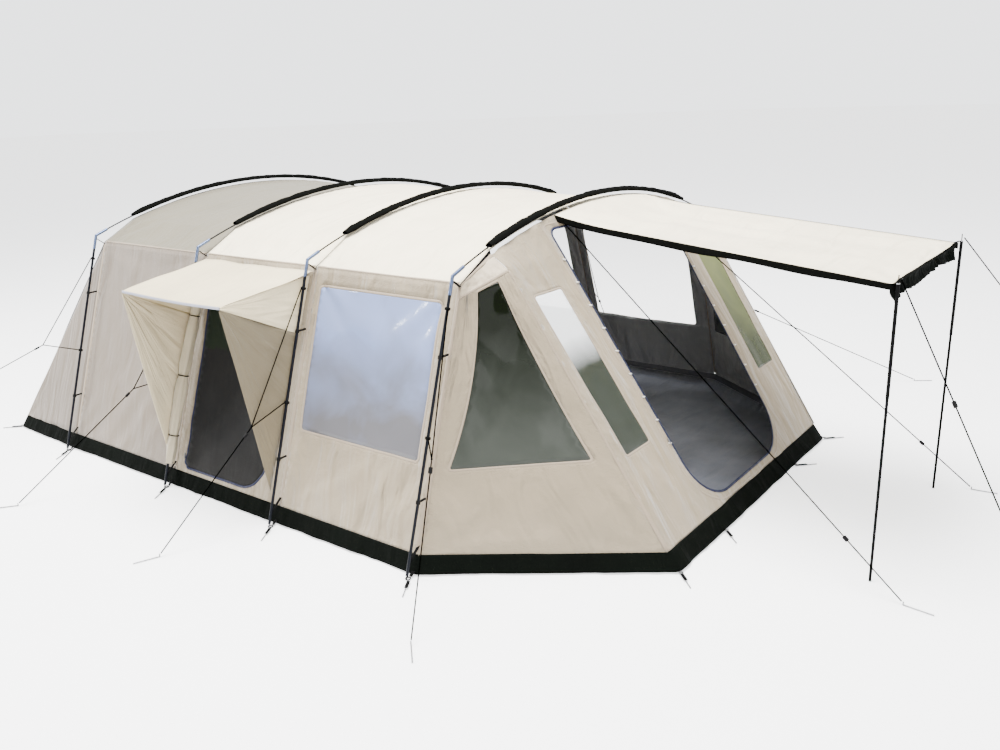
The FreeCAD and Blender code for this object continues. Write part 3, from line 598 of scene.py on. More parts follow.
def ribbon(name, sheet, line, width, material, height=0.0025, closed=True, body="tent", depth=0.0016):
    """Flat tape sewn along a line of a sheet's pattern, standing a little over it."""
    line = np.array(resample(line, 0.03, closed))
    after = np.roll(line, -1, axis=0)
    before = np.roll(line, 1, axis=0)
    if not closed:
        after[-1] = line[-1]
        before[0] = line[0]
    along = unit(after - before)
    across = np.stack([-along[:, 1], along[:, 0]], axis=1)
    shares = (-0.5, -0.2, 0.2, 0.5)
    heights = (height * 0.2, height, height, height * 0.2)
    rows = [sheet.lift(line + across * width * share, rise) for share, rise in zip(shares, heights)]
    points = np.concatenate(rows)
    uvs = np.concatenate([line + across * width * share for share in shares])
    obj = make_mesh(name, points, grid_faces(len(shares), len(line), closed), uvs)
    return dress(thicken(obj, depth), material, body)


def tape(name, sheet, line, width, closed=False, height=0.0025):
    """Seam tape in the colour all seams share."""
    return ribbon(name, sheet, line, width, TAPE, height=height, closed=closed)


def bilinear(corners):
    """Surface through four corners, for a pattern measured in metres: (x, y) over (width, height)."""
    a, b, c, d = [np.array(corner, float) for corner in corners]
    width = (np.linalg.norm(b - a) + np.linalg.norm(c - d)) / 2
    height = (np.linalg.norm(d - a) + np.linalg.norm(c - b)) / 2

    def surface(x, y):
        s, t = (np.asarray(x) / width)[:, None], (np.asarray(y) / height)[:, None]
        return (a * (1 - s) + b * s) * (1 - t) + (d * (1 - s) + c * s) * t

    return surface, width, height


def to_pattern(corners, point, width, height):
    """Pattern place of a 3D point near a bilinear surface, by a few Newton steps."""
    a, b, c, d = [np.array(corner, float) for corner in corners]
    target = np.array(point, float)
    s, t = 0.5, 0.5
    for _ in range(20):
        here = (a * (1 - s) + b * s) * (1 - t) + (d * (1 - s) + c * s) * t
        ds = (b - a) * (1 - t) + (c - d) * t
        dt = (d - a) * (1 - s) + (c - b) * s
        step = np.linalg.lstsq(np.stack([ds, dt], axis=1), target - here, rcond=None)[0]
        s, t = s + step[0], t + step[1]
    return (s * width, t * height)


def fanned_creases(x, y, width, height, reach, depth, seed, count=9):
    """Creases from all four corners of a rectangular pattern."""
    return sum(corner_creases(x, y, corner, reach, depth, seed + index, count)
               for index, corner in enumerate(rectangle(width, height)))


def taut_relief(width, height, sag, seed, crease, reach=0.45):
    """Relief of a tensioned panel: a slack middle, creases from its corners and puckers along its seams."""

    def relief(x, y):
        s, t = clamp(x / width), clamp(y / height)
        slack = -sag * bulge(s) ** 0.8 * bulge(t) ** 0.8
        edge = np.minimum(np.minimum(x, width - x), np.minimum(y, height - y))
        hold = clamp(edge / 0.05)
        folds = fanned_creases(x, y, width, height, reach, crease, seed)
        seam = 0.0022 * noise(x * 22, y * 22, seed + 9) * np.exp(-np.maximum(edge, 0) / 0.10)
        drift = 0.008 * noise(x * 2.3 + y * 1.3, y * 2.3 - x * 0.8, seed + 5)
        drift = drift + 0.004 * noise(x * 6 + y * 5, y * 2.0 - x * 1.5, seed + 6)
        drag = np.sin((x * 0.8 - y * 0.6) * 30 + 2.5 * noise(x * 1.5, y * 1.5, seed + 7))
        patches = clamp(0.5 + noise(x * 1.6, y * 1.6, seed + 8)) * clamp(1 - t / 0.42) ** 0.7
        drift = drift + 0.0075 * drag * patches
        return slack + hold * (folds + drift) + seam * clamp(edge / 0.01)

    return relief


# ------------------------------------------------------------------ flysheet: walls, roof, ends

WINDOW_Z = (0.615, 1.530)
WINDOW_MARGINS = (0.072, 0.112)
DOOR_Z = (0.15, 1.48)
DOOR_MARGINS = (0.112, 0.205)
DOOR_RADII = (0.04, 0.22, 0.16, 0.06)
SEAM_GAP = 0.004
LOW_TAPE = 0.0015


def wall_frame(bay, side):
    """Surface of one bay's side wall, its pattern size and a function from (x, z) to the pattern."""
    rear, front = arch_x[bay] + SEAM_GAP, arch_x[bay + 1] - SEAM_GAP
    start, end = (rear, front) if side == NEAR else (front, rear)
    corners = [wall_point(start, side, SKIRT_Z + SEAM_GAP), wall_point(end, side, SKIRT_Z + SEAM_GAP),
               wall_point(end, side, WALL_TOP_Z), wall_point(start, side, WALL_TOP_Z)]
    surface, width, height = bilinear(corners)

    def place(x, z):
        return to_pattern(corners, wall_point(x, side, z), width, height)

    return surface, width, height, place


def side_name(side):
    return "near" if side == NEAR else "far"


def side_wall(bay, side, material, opening, seed):
    """One bay's side wall; opening is 'window', 'door' or None."""
    surface, width, height, place = wall_frame(bay, side)
    name = f"wall_{side_name(side)}_{('rear', 'middle', 'front')[bay - 1]}"
    holes = []
    if opening:
        low, high = WINDOW_Z if opening == "window" else DOOR_Z
        margins = WINDOW_MARGINS if opening == "window" else DOOR_MARGINS
        start, end = arch_x[bay] + margins[0], arch_x[bay + 1] - margins[1]
        corners = [place(start, low), place(end, low), place(end, high), place(start, high)]
        holes = [rounded(corners, [0.03] * 4 if opening == "window" else DOOR_RADII)]
    sheet = Sheet(f"{name}_cloth", rectangle(width, height), surface,
                  taut_relief(width, height, 0.022, seed, crease=0.007), holes)
    sheet.build(material, replaces=[name])
    if opening == "window":
        pane_film = SIDE_FILM if side == NEAR else FAR_FILM
        sheet.pane(0, f"window_{side_name(side)}_{bay}", pane_film, replaces=["windows"])
        tape(f"window_tape_{side_name(side)}_{bay}", sheet, holes[0], 0.016, closed=True, height=LOW_TAPE)
    if opening == "door":
        door_mesh = sheet.pane(0, "mesh_door", MESH, replaces=["side_door_mesh"])
        split_cloth(door_mesh, MESH_TOP, lambda point: point.z > 1.0)
        ribbon("side_door_zip", sheet, holes[0], 0.016, PIPING)
    for edge, at in (("rear", 0.0), ("front", width)):
        tape(f"{name}_seam_{edge}", sheet, [(at, 0.02), (at, height - 0.02)], 0.024)
    return sheet


def roof_profile(count_side=8, count_arc=60):
    """Cross-section of the roof from the near wall top over the crown to the far one."""
    radius = ARCH_RADIUS - ROOF_DROP
    low = np.array([-WALL_TOP, WALL_TOP_Z])
    first = np.array([-radius * math.sin(SLEEVE_ANGLE), ARCH_CENTRE_Z + radius * math.cos(SLEEVE_ANGLE)])
    straight = [low + (first - low) * index / count_side for index in range(count_side)]
    angles = np.linspace(-SLEEVE_ANGLE, SLEEVE_ANGLE, count_arc)
    arc = [np.array([radius * math.sin(turn), ARCH_CENTRE_Z + radius * math.cos(turn)]) for turn in angles]
    far = [np.array([-point[0], point[1]]) for point in reversed(straight)]
    return np.array(straight + arc + far)


PROFILE = roof_profile()
PROFILE_STEPS = running_length(PROFILE)
PROFILE_LENGTH = PROFILE_STEPS[-1]


def profile_at(length):
    return (np.interp(length, PROFILE_STEPS, PROFILE[:, 0]),
            np.interp(length, PROFILE_STEPS, PROFILE[:, 1]))


def roof_bay(bay, name, material, seed):
    """Roof between two arches, a slight saddle that sags between them."""
    start, end = arch_x[bay] + SEAM_GAP, arch_x[bay + 1] - SEAM_GAP
    width = end - start

    def surface(x, s):
        y, z = profile_at(np.asarray(s))
        return np.stack([start + np.asarray(x), y, z], axis=1)

    def relief(x, s):
        share = clamp(x / width)
        across = clamp(s / PROFILE_LENGTH)
        over_crown = 1 - np.abs(2 * across - 1)
        saddle = -0.034 * bulge(share) * (0.35 + 0.65 * clamp(over_crown * 3))
        saddle = saddle * clamp(over_crown * 14)
        edge = np.minimum(x, width - x)
        pucker = 0.0035 * np.sin(s * 48 + 3 * noise(s * 5, edge * 0 + bay, seed)) * np.exp(-edge / 0.07)
        folds = fanned_creases(x, s, width, PROFILE_LENGTH, 0.5, 0.009, seed, 11)
        hold = clamp(edge / 0.04) * clamp(over_crown * 30)
        return saddle + (folds + 0.007 * noise(x * 2.6, s * 1.7, seed + 3)) * hold + pucker * hold

    sheet = Sheet(f"{name}_cloth", rectangle(width, PROFILE_LENGTH), surface, relief, cell=0.04)
    sheet.build(material, replaces=[name])
    for side, at in (("near", 0.004), ("far", PROFILE_LENGTH - 0.004)):
        tape(f"{name}_seam_{side}", sheet, [(0.01, at), (width - 0.01, at)], 0.022)
    return sheet


def along_line(points, count):
    """Points spread evenly by length along a 3D polyline."""
    points = np.array([tuple(point) for point in points], float)
    steps = running_length(points)
    wanted = np.linspace(0, steps[-1], count)
    return np.stack([np.interp(wanted, steps, points[:, axis]) for axis in range(3)], axis=1)


def loft_cloth(name, low, high, rows, material, relief=None, replaces=(),
               closed=False, body="tent"):
    """Cloth between two lines of the same number of points; relief(u, v) moves it along its normal."""
    low, high = np.asarray(low, float), np.asarray(high, float)
    count = len(low)
    grid = np.array([low + (high - low) * row / rows for row in range(rows + 1)])
    along = np.roll(grid, -1, axis=1) - np.roll(grid, 1, axis=1)
    if not closed:
        along[:, 0] = grid[:, 1] - grid[:, 0]
        along[:, -1] = grid[:, -1] - grid[:, -2]
    normal = unit(np.cross(along, np.broadcast_to(high - low, grid.shape)))
    lengths = max(running_length(low), running_length(high), key=lambda steps: steps[-1])
    heights = np.linalg.norm(high - low, axis=1).mean() * np.arange(rows + 1) / rows
    u, v = np.broadcast_to(lengths, (rows + 1, count)), np.broadcast_to(heights[:, None], (rows + 1, count))
    if relief:
        grid = grid + normal * relief(u, v)[..., None]
    uvs = np.stack([u, v], axis=2).reshape(-1, 2)
    obj = make_mesh(name, grid.reshape(-1, 3), grid_faces(rows + 1, count, closed), uvs)
    area = sum(polygon.area for polygon in obj.data.polygons)
    dress(thicken(obj, CLOTH_THICKNESS), material, body, replaces)
    size = (float(lengths[-1]), float(heights[-1]))
    area = min(max(area, 0.301 * size[0] * size[1]), size[0] * size[1])
    return obj


SEAM_SHARE = 0.952
BEND_Z = lerp(SKIRT_Z + SEAM_GAP, SHOULDER[1] - SEAM_GAP, SEAM_SHARE)
SLEEVE_FRONT = 0.030
SHOULDER_END = 1.300
SLEEVE_COVER = 0.006
BEND_POWER = 1.6


def facet_top(y):
    """Height of the front panel's top edge, under the last sleeve."""
    return np.interp(y, PROFILE[:, 0], PROFILE[:, 1]) - SLEEVE_COVER


def facet_x(y, z):
    """The front panel slopes to the window tops, then bends back to the last sleeve."""
    slope = FRONT_X - FACET_REACH * z / FACET_PLANE_Z
    top = facet_top(y)
    slope_top = FRONT_X - FACET_REACH * top / FACET_PLANE_Z
    share = np.clip((z - BEND_Z) / np.maximum(top - BEND_Z, 1e-3), 0, 1.05)
    return slope - (slope_top - arch_x[4] - SLEEVE_FRONT) * share ** BEND_POWER


WING_WINDOW = ((0.09, 0.31), (0.88, 0.31), (0.76, 0.94), (0.36, 0.94))


def wing(side):
    """Angled panel between the last leg and the front panel: a lower part with the narrowing window,
    and a roof-coloured triangle over it that runs back to the sleeve's end."""
    x = arch_x[4] + SEAM_GAP
    foot_z = SKIRT_Z + SEAM_GAP
    nudge = Vector((-0.002, side * 0.002, 0))
    front = facet_point(side * (FRONT_HALF - 0.002), foot_z) + nudge
    foot, wall_end = wall_point(x, side, foot_z), wall_point(x, side, WALL_TOP_Z - 0.004)
    front_end = facet_point(side * SHOULDER[0], SHOULDER[1] - 0.004)
    wall_bend, front_bend = lerp(foot, wall_end, SEAM_SHARE), lerp(front, front_end, SEAM_SHARE)
    shoulder = Vector((arch_x[4] + SLEEVE_FRONT, side * SHOULDER_END, float(facet_top(SHOULDER_END))))
    name = f"wing_{side_name(side)}"

    def on_quad(across, up):
        """Point by its share across from the leg and its height share of the whole wing's edge."""
        return lerp(lerp(foot, wall_end, up), lerp(front, front_end, up), across)

    window = [on_quad(*shares) for shares in WING_WINDOW]
    corners = [foot, front, front_bend, wall_bend]
    upper = [wall_bend, front_bend, shoulder, wall_end]
    if side == FAR:
        corners, upper, window = [[a[1], a[0], a[3], a[2]] for a in (corners, upper, window)]
    surface, width, height = bilinear(corners)
    hole = rounded([to_pattern(corners, point, width, height) for point in window], [0.018] * 4)
    sheet = Sheet(f"{name}_cloth", rectangle(width, height), surface,
                  taut_relief(width, height, 0.012, 31 + side, crease=0.009), [hole])
    sheet.build(WALL, replaces=[name])
    sheet.pane(0, f"{name}_window", WING_FILM, replaces=["windows"])
    tape(f"{name}_window_tape", sheet, hole, 0.014, closed=True, height=LOW_TAPE)
    front_at, back_at = (width, 0.0) if side == NEAR else (0.0, width)
    tape(f"{name}_seam_front", sheet, [(front_at, 0.01), (front_at, height)], 0.018, height=0.002)
    tape(f"{name}_seam_back", sheet, [(back_at, 0.01), (back_at, height)], 0.026)
    top_line = [(0.01, height - 0.002), (width - 0.01, height - 0.002)]
    tape(f"{name}_seam_top", sheet, top_line, 0.016, height=0.002)
    top_surface, top_width, top_height = bilinear(upper)
    top = Sheet(f"{name}_corner_cloth", rectangle(top_width, top_height), top_surface,
                taut_relief(top_width, top_height, 0.004, 35 + side, crease=0.008, reach=0.2), cell=0.02)
    top.build(CORNER)
    edge = (0.0, top_height - 0.004), (top_width, top_height - 0.004)
    tape(f"{name}_corner_edge", top, edge, 0.02)


DOORWAY = ((-0.655, 0.165), (0.655, 0.165), (0.745, 1.85), (-0.745, 1.85))
DOORWAY_RADII = (0.33, 0.33, 0.06, 0.06)
FACING = ((-0.70, 0.128), (0.70, 0.128), (0.795, 1.88), (-0.795, 1.88))
FACING_RADII = (0.36, 0.36, 0.06, 0.06)
NARROW_WINDOW = ((1.165, 0.612), (0.872, 0.612), (0.925, 1.532), (1.232, 1.532))
TOGGLES = 9


def front_panel():
    """Sloping front panel with the D-shaped doorway and a narrow window on each side."""
    stretch = (facet_point(0, 1) - facet_point(0, 0)).length
    half_bend = lerp(FRONT_HALF - 0.004, SHOULDER[0] - 0.002, (BEND_Z - SKIRT_Z) / (SHOULDER[1] - SKIRT_Z))
    foot_z = SKIRT_Z + SEAM_GAP
    across = np.linspace(SHOULDER_END, -SHOULDER_END, 40)
    outline = [(-FRONT_HALF + 0.004, foot_z), (FRONT_HALF - 0.004, foot_z), (half_bend, BEND_Z)]
    outline += [(y, float(facet_top(y))) for y in across]
    outline += [(-half_bend, BEND_Z)]
    outline = [(y, z * stretch) for y, z in outline]

    def surface(y, height):
        z = height / stretch
        return np.stack([facet_x(y, z), y, z], axis=1)

    def cut(places, radii, steps=7, side=1):
        return rounded([(side * y, z * stretch) for y, z in places], radii, steps)

    door = cut(DOORWAY, DOORWAY_RADII, 12)
    holes = [door] + [cut(NARROW_WINDOW, [0.025] * 4, side=side) for side in (NEAR, FAR)]

    def relief(y, height):
        edge = distance_to(np.stack([y, height], axis=1), door)
        between = np.exp(-((np.abs(y) - 1.02) / 0.16) ** 2)
        slack = -0.010 * between * bulge(clamp(height / (2.0 * stretch)))
        folds = 0.004 * noise(y * 7, height * 2.2, 41) + 0.003 * noise(y * 16, height * 6, 42)
        top_folds = 0.006 * np.sin(y * 34 + 2 * noise(y * 4, height, 43))
        folds = folds + top_folds * clamp((height / stretch - BEND_Z) / 0.2)
        return slack + folds * clamp(edge / 0.05)

    sheet = Sheet("front_panel_cloth", outline, surface, relief, holes, cell=0.028)
    sheet.build(WALL, replaces=["front_panel"])
    for index, side, window_film in ((1, NEAR, NARROW_FILM), (2, FAR, FAR_NARROW_FILM)):
        sheet.pane(index, f"front_window_{side_name(side)}", window_film, replaces=["windows"])
        tape(f"front_window_tape_{side_name(side)}", sheet, holes[index], 0.014, closed=True, height=LOW_TAPE)
    ribbon("doorway_piping", sheet, door, 0.016, PIPING, height=0.004)
    tape("doorway_facing", sheet, cut(FACING, FACING_RADII, 12), 0.012, closed=True, height=0.002)
    for side in (NEAR, FAR):
        for index in range(TOGGLES):
            share = (index + 0.7) / (TOGGLES + 0.5)
            y, z = side * lerp(0.690, 0.765, share), lerp(0.45, 1.78, share)
            toggle(f"toggle_{side_name(side)}_{index + 1}", sheet, (y, z * stretch))


def toggle(name, sheet, place):
    """Small light cord loop that ties the rolled door back."""
    y, height = place
    line = [(y - 0.012, height + 0.004), (y + 0.012, height - 0.004)]
    ribbon(name, sheet, line, 0.007, LOOP, height=0.008, closed=False, depth=0.004)


def rear_end():
    """Sloping rear sheet from the last arch to the ground line, and its two gussets."""
    x = arch_x[1] - SEAM_GAP
    foot_x, foot_z = REAR_X + 0.06, SKIRT_Z + SEAM_GAP
    foot_half = REAR_HALF - 0.04
    top = along_line([(x, y, z) for y, z in PROFILE], 101)
    foot = along_line([(foot_x, -foot_half, foot_z), (foot_x, foot_half, foot_z)], 101)
    length = np.linalg.norm(top[50] - foot[50])

    def relief(u, v):
        share_u, share_v = u / (2 * foot_half), v / length
        slack = 0.022 * bulge(share_u) ** 0.7 * bulge(share_v)
        hold = clamp(bulge(share_v) * 6)
        folds = 0.006 * np.sin(u * 13 + 2 * noise(u, v * 1.5, 51)) * bulge(share_v)
        return -slack + folds * hold * 0.6 + 0.006 * noise(u * 3, v * 2, 52) * hold

    loft_cloth("rear_cloth", foot[::-1], top[::-1], 44, REAR, relief,
               replaces=["rear_panel"])
    for side in (NEAR, FAR):
        wall_top = Vector((x, side * (WALL_TOP + 0.004), WALL_TOP_Z - 0.02))
        leg_foot = wall_point(x, side, foot_z)
        corner = Vector((foot_x, side * (REAR_HALF - 0.03), foot_z))
        low = along_line([corner, leg_foot], 25)
        high = along_line([corner, wall_top], 25)
        if side == FAR:
            low, high = low[::-1], high[::-1]
        loft_cloth(f"rear_gusset_{side_name(side)}", low, high, 24, REAR,
                   lambda u, v: 0.004 * noise(u * 4, v * 4, 53))


def ground_plan(height):
    """Outline of the tent on the ground, from the near rear corner round to the far one."""
    near = [Vector((REAR_X + 0.5 * height, -(REAR_HALF - 0.3 * height), height)),
            Vector((arch_x[1], -wall_half(height), height)),
            Vector((arch_x[4] + SEAM_GAP, -wall_half(height), height)),
            Vector((facet_point(0, height).x, -(FRONT_HALF - 0.06 * height), height))]
    return near + [Vector((point.x, -point.y, point.z)) for point in reversed(near)]


def skirt():
    """Dark mud skirt round the tent, ruffled where it meets the ground."""
    high = along_line([*ground_plan(SKIRT_Z + 0.006), ground_plan(SKIRT_Z + 0.006)[0]], 700)[:-1]
    low = along_line([*ground_plan(0.006), ground_plan(0.006)[0]], 700)[:-1]

    def relief(u, v):
        down = 1 - v / (SKIRT_Z + 0.006)
        ruffle = 0.008 * noise(u * 6.5, v * 3, 61) + 0.005 * noise(u * 17, v * 6, 62)
        return (0.008 + ruffle) * clamp(down) ** 0.8 + 0.002

    loft_cloth("skirt_cloth", low, high, 7, DARK, relief,
               replaces=["ground_skirt"], closed=True)


LIP_WIDTH, LIP_HEIGHT = 0.080, 0.050


def groundsheet():
    """Coated floor sheet with shallow wrinkles and an edge that turns up inside the skirt."""
    outline = [(point.x, point.y) for point in ground_plan(0)]
    middle_x = (REAR_X + FRONT_X) / 2
    outline = [(middle_x + (x - middle_x) * 0.988, y * 0.990) for x, y in outline]

    def surface(x, y):
        return np.stack([x, y, np.full(len(x), 0.0045)], axis=1)

    def relief(x, y):
        lip = clamp(1 - distance_to(np.stack([x, y], axis=1), outline) / LIP_WIDTH)
        return 0.004 * noise(x * 1.8, y * 1.8, 63) + 0.0022 * noise(x * 6, y * 6, 64) + LIP_HEIGHT * lip ** 2

    sheet = Sheet("groundsheet_cloth", outline, surface, relief, cell=0.07)
    sheet.build(FLOOR_SHEET, replaces=["groundsheet"])


CURTAIN_FOOT = (2.06, 0.012)
CURTAIN_ELBOW = (1.535, 1.585)
CURTAIN_SHOULDER = (1.240, 1.745)
BEDROOM_DOOR = ((-0.4, 0.09), (0.4, 0.09), (0.4, 1.55), (-0.4, 1.55))


def bedroom_wall():
    """Dark curtain across the tunnel, with soft vertical folds and its doorway."""
    x = box_middle("bedroom_wall").x
    crown_z = ARCH_HEIGHT - 0.07
    half, rise = CURTAIN_SHOULDER[0], crown_z - CURTAIN_SHOULDER[1]
    radius = (half ** 2 + rise ** 2) / (2 * rise)
    reach = math.asin(half / radius)
    (foot_y, foot_z), (elbow_y, elbow_z) = CURTAIN_FOOT, CURTAIN_ELBOW
    outline = [(-foot_y, foot_z), (foot_y, foot_z), (elbow_y, elbow_z)]
    outline += [(radius * math.sin(turn), crown_z - radius + radius * math.cos(turn))
                for turn in np.linspace(reach, -reach, 24)]
    outline += [(-elbow_y, elbow_z)]
    door = rounded(BEDROOM_DOOR, (0.15, 0.15, 0.25, 0.25))

    def surface(y, z):
        return np.stack([np.full(len(y), x), y, z], axis=1)

    def relief(y, z):
        fade = clamp(z / 0.4) * np.clip((1.95 - z) / 0.5, 0.2, 1)
        folds = 0.016 * np.sin(y * 17 + 2.2 * noise(y * 2, z * 0.8, 65))
        return folds * fade + 0.01 * noise(y * 2, z * 2, 66)

    sheet = Sheet("bedroom_curtain", outline, surface, relief, [door], cell=0.045)
    sheet.build(BEDROOM, replaces=["bedroom_wall"])
    ribbon("bedroom_door_zip", sheet, door, 0.014, PIPING)


SLEEVE_DEPTH = 0.027


def sleeve(arch):
    """Black pole sleeve: a puckered flat tube round the rod."""
    low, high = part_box(f"sleeve_{arch}")
    half_width = (high.x - low.x) / 2
    turns, around = 150, 20
    points, uvs = [], []
    for row, turn in enumerate(np.linspace(-SLEEVE_ANGLE, SLEEVE_ANGLE, turns)):
        along = turn * ARCH_RADIUS
        end_share = min(row, turns - 1 - row) / 5
        pinch = 0.72 + 0.28 * min(1, end_share)
        pucker = 1 + 0.09 * float(noise(along * 14, arch, 81)) + 0.06 * float(noise(along * 37, arch, 82))
        for column in range(around):
            angle = 2 * math.pi * column / around
            wide = half_width * math.cos(angle) * pinch * pucker
            lift = SLEEVE_DEPTH * math.sin(angle) * (1 if angle < math.pi else 0.28) * pinch * pucker
            base = arch_point(arch_x[arch], turn, -0.002 - lift)
            points.append(base + Vector((wide, 0, 0)))
            uvs.append((along, angle * 0.02))
    obj = make_mesh(f"sleeve_cloth_{arch}", points, grid_faces(turns, around, True), np.array(uvs))
    dress(thicken(obj, 0.0012), SLEEVE, "tent", [f"sleeve_{arch}"])


# ------------------------------------------------------------------ awning

AWNING_ROOT_HALF = 0.625
EDGE_DROP = 0.040
FLAP_POINTS = 260
FLAP_END_DROP = 0.024


def awning():
    """Raised front panel as a sagging awning with black hanging edges and a gathered front flap."""
    low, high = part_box("awning_panel")
    root_half, tip_half = AWNING_ROOT_HALF, high.y
    root_x, tip_x = arch_x[4] + SLEEVE_FRONT + 0.004, high.x
    tip_z = low.z
    fall = (high.z - low.z) / (high.x - low.x)
    root_z = low.z + fall * (tip_x - root_x)
    corners = [(root_x, -root_half, root_z), (tip_x, -tip_half, tip_z), (tip_x, tip_half, tip_z),
               (root_x, root_half, root_z)]
    surface, width, height = bilinear(corners)

    def relief(x, y):
        s, t = clamp(x / width), clamp(y / height)
        sag = -0.030 * bulge(s) * bulge(t) ** 0.7
        runs = 0.006 * np.sin(t * 24 + 2 * noise(x * 1.5, y * 3, 91)) * bulge(s)
        folds = fanned_creases(x, y, width, height, 0.45, 0.010, 92)
        hold = clamp(np.minimum(y, height - y) / 0.03) * clamp(s * 30)
        arched = facet_top((t * 2 - 1) * root_half) - root_z
        return sag + (runs + folds) * hold + arched * clamp(1 - x / 0.45) ** 2

    sheet = Sheet("awning_cloth", rectangle(width, height), surface, relief, cell=0.03)
    obj = sheet.build(ROOF, body=None, replaces=["awning_panel"])
    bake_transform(obj)
    for side, at in ((NEAR, 0.0), (FAR, height)):
        band = hanging_edge(sheet, side, at, width)
        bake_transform(band)
    tip_line = [(width - 0.010, 0.005), (width - 0.010, height - 0.005)]
    ribbon("awning_edge_tip", sheet, tip_line, 0.022, SLEEVE, closed=False,
           body="awning", height=0.003)
    for side in (NEAR, FAR):
        awning_corner(side, tip_x, tip_half, tip_z)
    awning_flap(tip_x - 0.004, tip_half)


def hanging_edge(sheet, side, at, width):
    """Black band that hangs from one side edge of the awning."""
    count = 80
    reach = np.linspace(0.0, width, count)
    edge = sheet.lift(np.stack([reach, np.full(count, at)], axis=1), 0.003)
    drop = EDGE_DROP + 0.006 * noise(reach * 3, reach * 0, 98 + side)
    hang = edge - np.outer(drop, (0, 0, 1)) + np.array((0, side * 0.004, 0))

    def wave(u, v):
        return 0.005 * noise(u * 9, v * 8, 99) * clamp(1 - v / 0.05)

    first, second = (hang, edge) if side == NEAR else (hang[::-1], edge[::-1])
    return loft_cloth(f"awning_edge_{side_name(side)}", first, second, 4, SLEEVE,
                      wave, body=None)


def awning_corner(side, tip_x, tip_half, tip_z):
    """Eyelet over the pole's spike and the tab that carries it."""
    eyelet = torus(f"awning_eyelet_{side_name(side)}", 0.008, 0.002)
    spike = box_middle(f"awning_pole_{side_name(side)}")
    eyelet.location = Vector((spike.x, spike.y, tip_z + 0.012))
    tab_low = Vector((tip_x - 0.02, side * (tip_half - 0.012), tip_z + 0.004))
    tab_high = Vector((spike.x - 0.007, spike.y - side * 0.004, tip_z + 0.013))
    strap(f"awning_tab_{side_name(side)}", tab_low, tab_high, 0.022, "awning")
    dress(eyelet, PEG, "awning")


def awning_flap(x, tip_half):
    """Gathered black flap along the awning's front edge, longest at its ends."""
    low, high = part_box("awning_flap")
    top_z, foot_z = high.z + 0.010, low.z
    y = np.linspace(-tip_half + 0.004, tip_half - 0.004, FLAP_POINTS)
    across = np.full(FLAP_POINTS, x)
    top = np.stack([across, y, np.full(FLAP_POINTS, top_z)], axis=1)
    ends = np.exp(-((np.abs(y) - tip_half) / 0.10) ** 2)
    hang = foot_z + 0.016 * noise(y * 4, y * 0, 95) + 0.006 - FLAP_END_DROP * ends
    foot = np.stack([across, y, hang], axis=1)

    def gather(u, v):
        down = clamp(1 - v / (top_z - foot_z))
        pleats = np.sin(u * 60 + 6 * noise(u * 5, v * 4, 96)) * (0.5 + 0.5 * noise(u * 7, v * 0, 94))
        roll = 0.030 * bulge(clamp(down * 1.1)) * (0.6 + 0.4 * noise(u * 6, v * 0, 93))
        return 0.010 * pleats * down - roll + 0.004 * noise(u * 30, v * 20, 97)

    loft_cloth("awning_flap_cloth", foot, top, 10, DARK, gather,
               replaces=["awning_flap"], body="awning")


# ------------------------------------------------------------------ side porch

def split_cloth(obj, material, above):
    """Second cloth on the faces whose middles pass the test."""
    obj.data.materials.append(material)
    for polygon in obj.data.polygons:
        if above(polygon.center):
            polygon.material_index = 1


CHEEK_TIP = 0.014
PORCH_SAG = (0, 0.035, -0.022)
HEM_INSETS = (0.062, 0.058)
PORCH_POINTS = 60


def side_porch():
    """Canopy over the mesh door and its two cheeks."""
    low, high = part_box("porch_canopy")
    hem_ends = (arch_x[2] + HEM_INSETS[0], arch_x[3] - HEM_INSETS[1])
    root_ends = (arch_x[2] + 0.012, arch_x[3] - 0.012)
    root = along_line([(x, -1.588, high.z) for x in root_ends], PORCH_POINTS)
    hem = along_line([(x, low.y, low.z) for x in hem_ends], PORCH_POINTS)
    hem = hem + np.outer(bulge(np.linspace(0, 1, PORCH_POINTS)), PORCH_SAG)

    def relief(u, v):
        return (-0.020 * bulge(clamp(u / 1.06)) * bulge(clamp(v / 0.73))
                + 0.006 * noise(u * 5, v * 4, 101) * clamp(v * 20))

    loft_cloth("porch_canopy_cloth", hem, root, 20, CANOPY, relief,
               replaces=["porch_canopy"])
    binding = hem + np.array((0, -0.001, -0.012))
    loft_cloth("porch_hem_binding", binding, hem + np.array((0, 0, 0.006)), 2, HEM)
    for end, leg_x, hem_x in ((-1, arch_x[2] + 0.022, hem_ends[0]), (1, arch_x[3] - 0.022, hem_ends[1])):
        seam = Vector((leg_x, -1.606, 1.592))
        foot = Vector((leg_x, -2.125, 0.230))
        corner = Vector((hem_x, low.y + 0.004, low.z + 0.002))
        split = lerp(foot, seam, 0.727)
        name = f"porch_cheek_{'front' if end > 0 else 'rear'}"
        rise = (seam - foot).normalized() * CHEEK_TIP
        for part, lower_end, upper_end, tip, material in (
                ("lower", foot, split, corner - rise, CHEEK_FRONT if end > 0 else CHEEK_REAR),
                ("upper", split, seam, corner, CANOPY)):
            back = along_line([lower_end, upper_end], 40)
            out = along_line([tip - rise, tip], 40)
            first, second = (back, out) if end > 0 else (out, back)
            loft_cloth(f"{name}_{part}", first, second, 22, material,
                       lambda u, v: 0.004 * noise(u * 5, v * 5, 103), replaces=["porch_cheeks"])


ROLL_RADIUS = 0.040


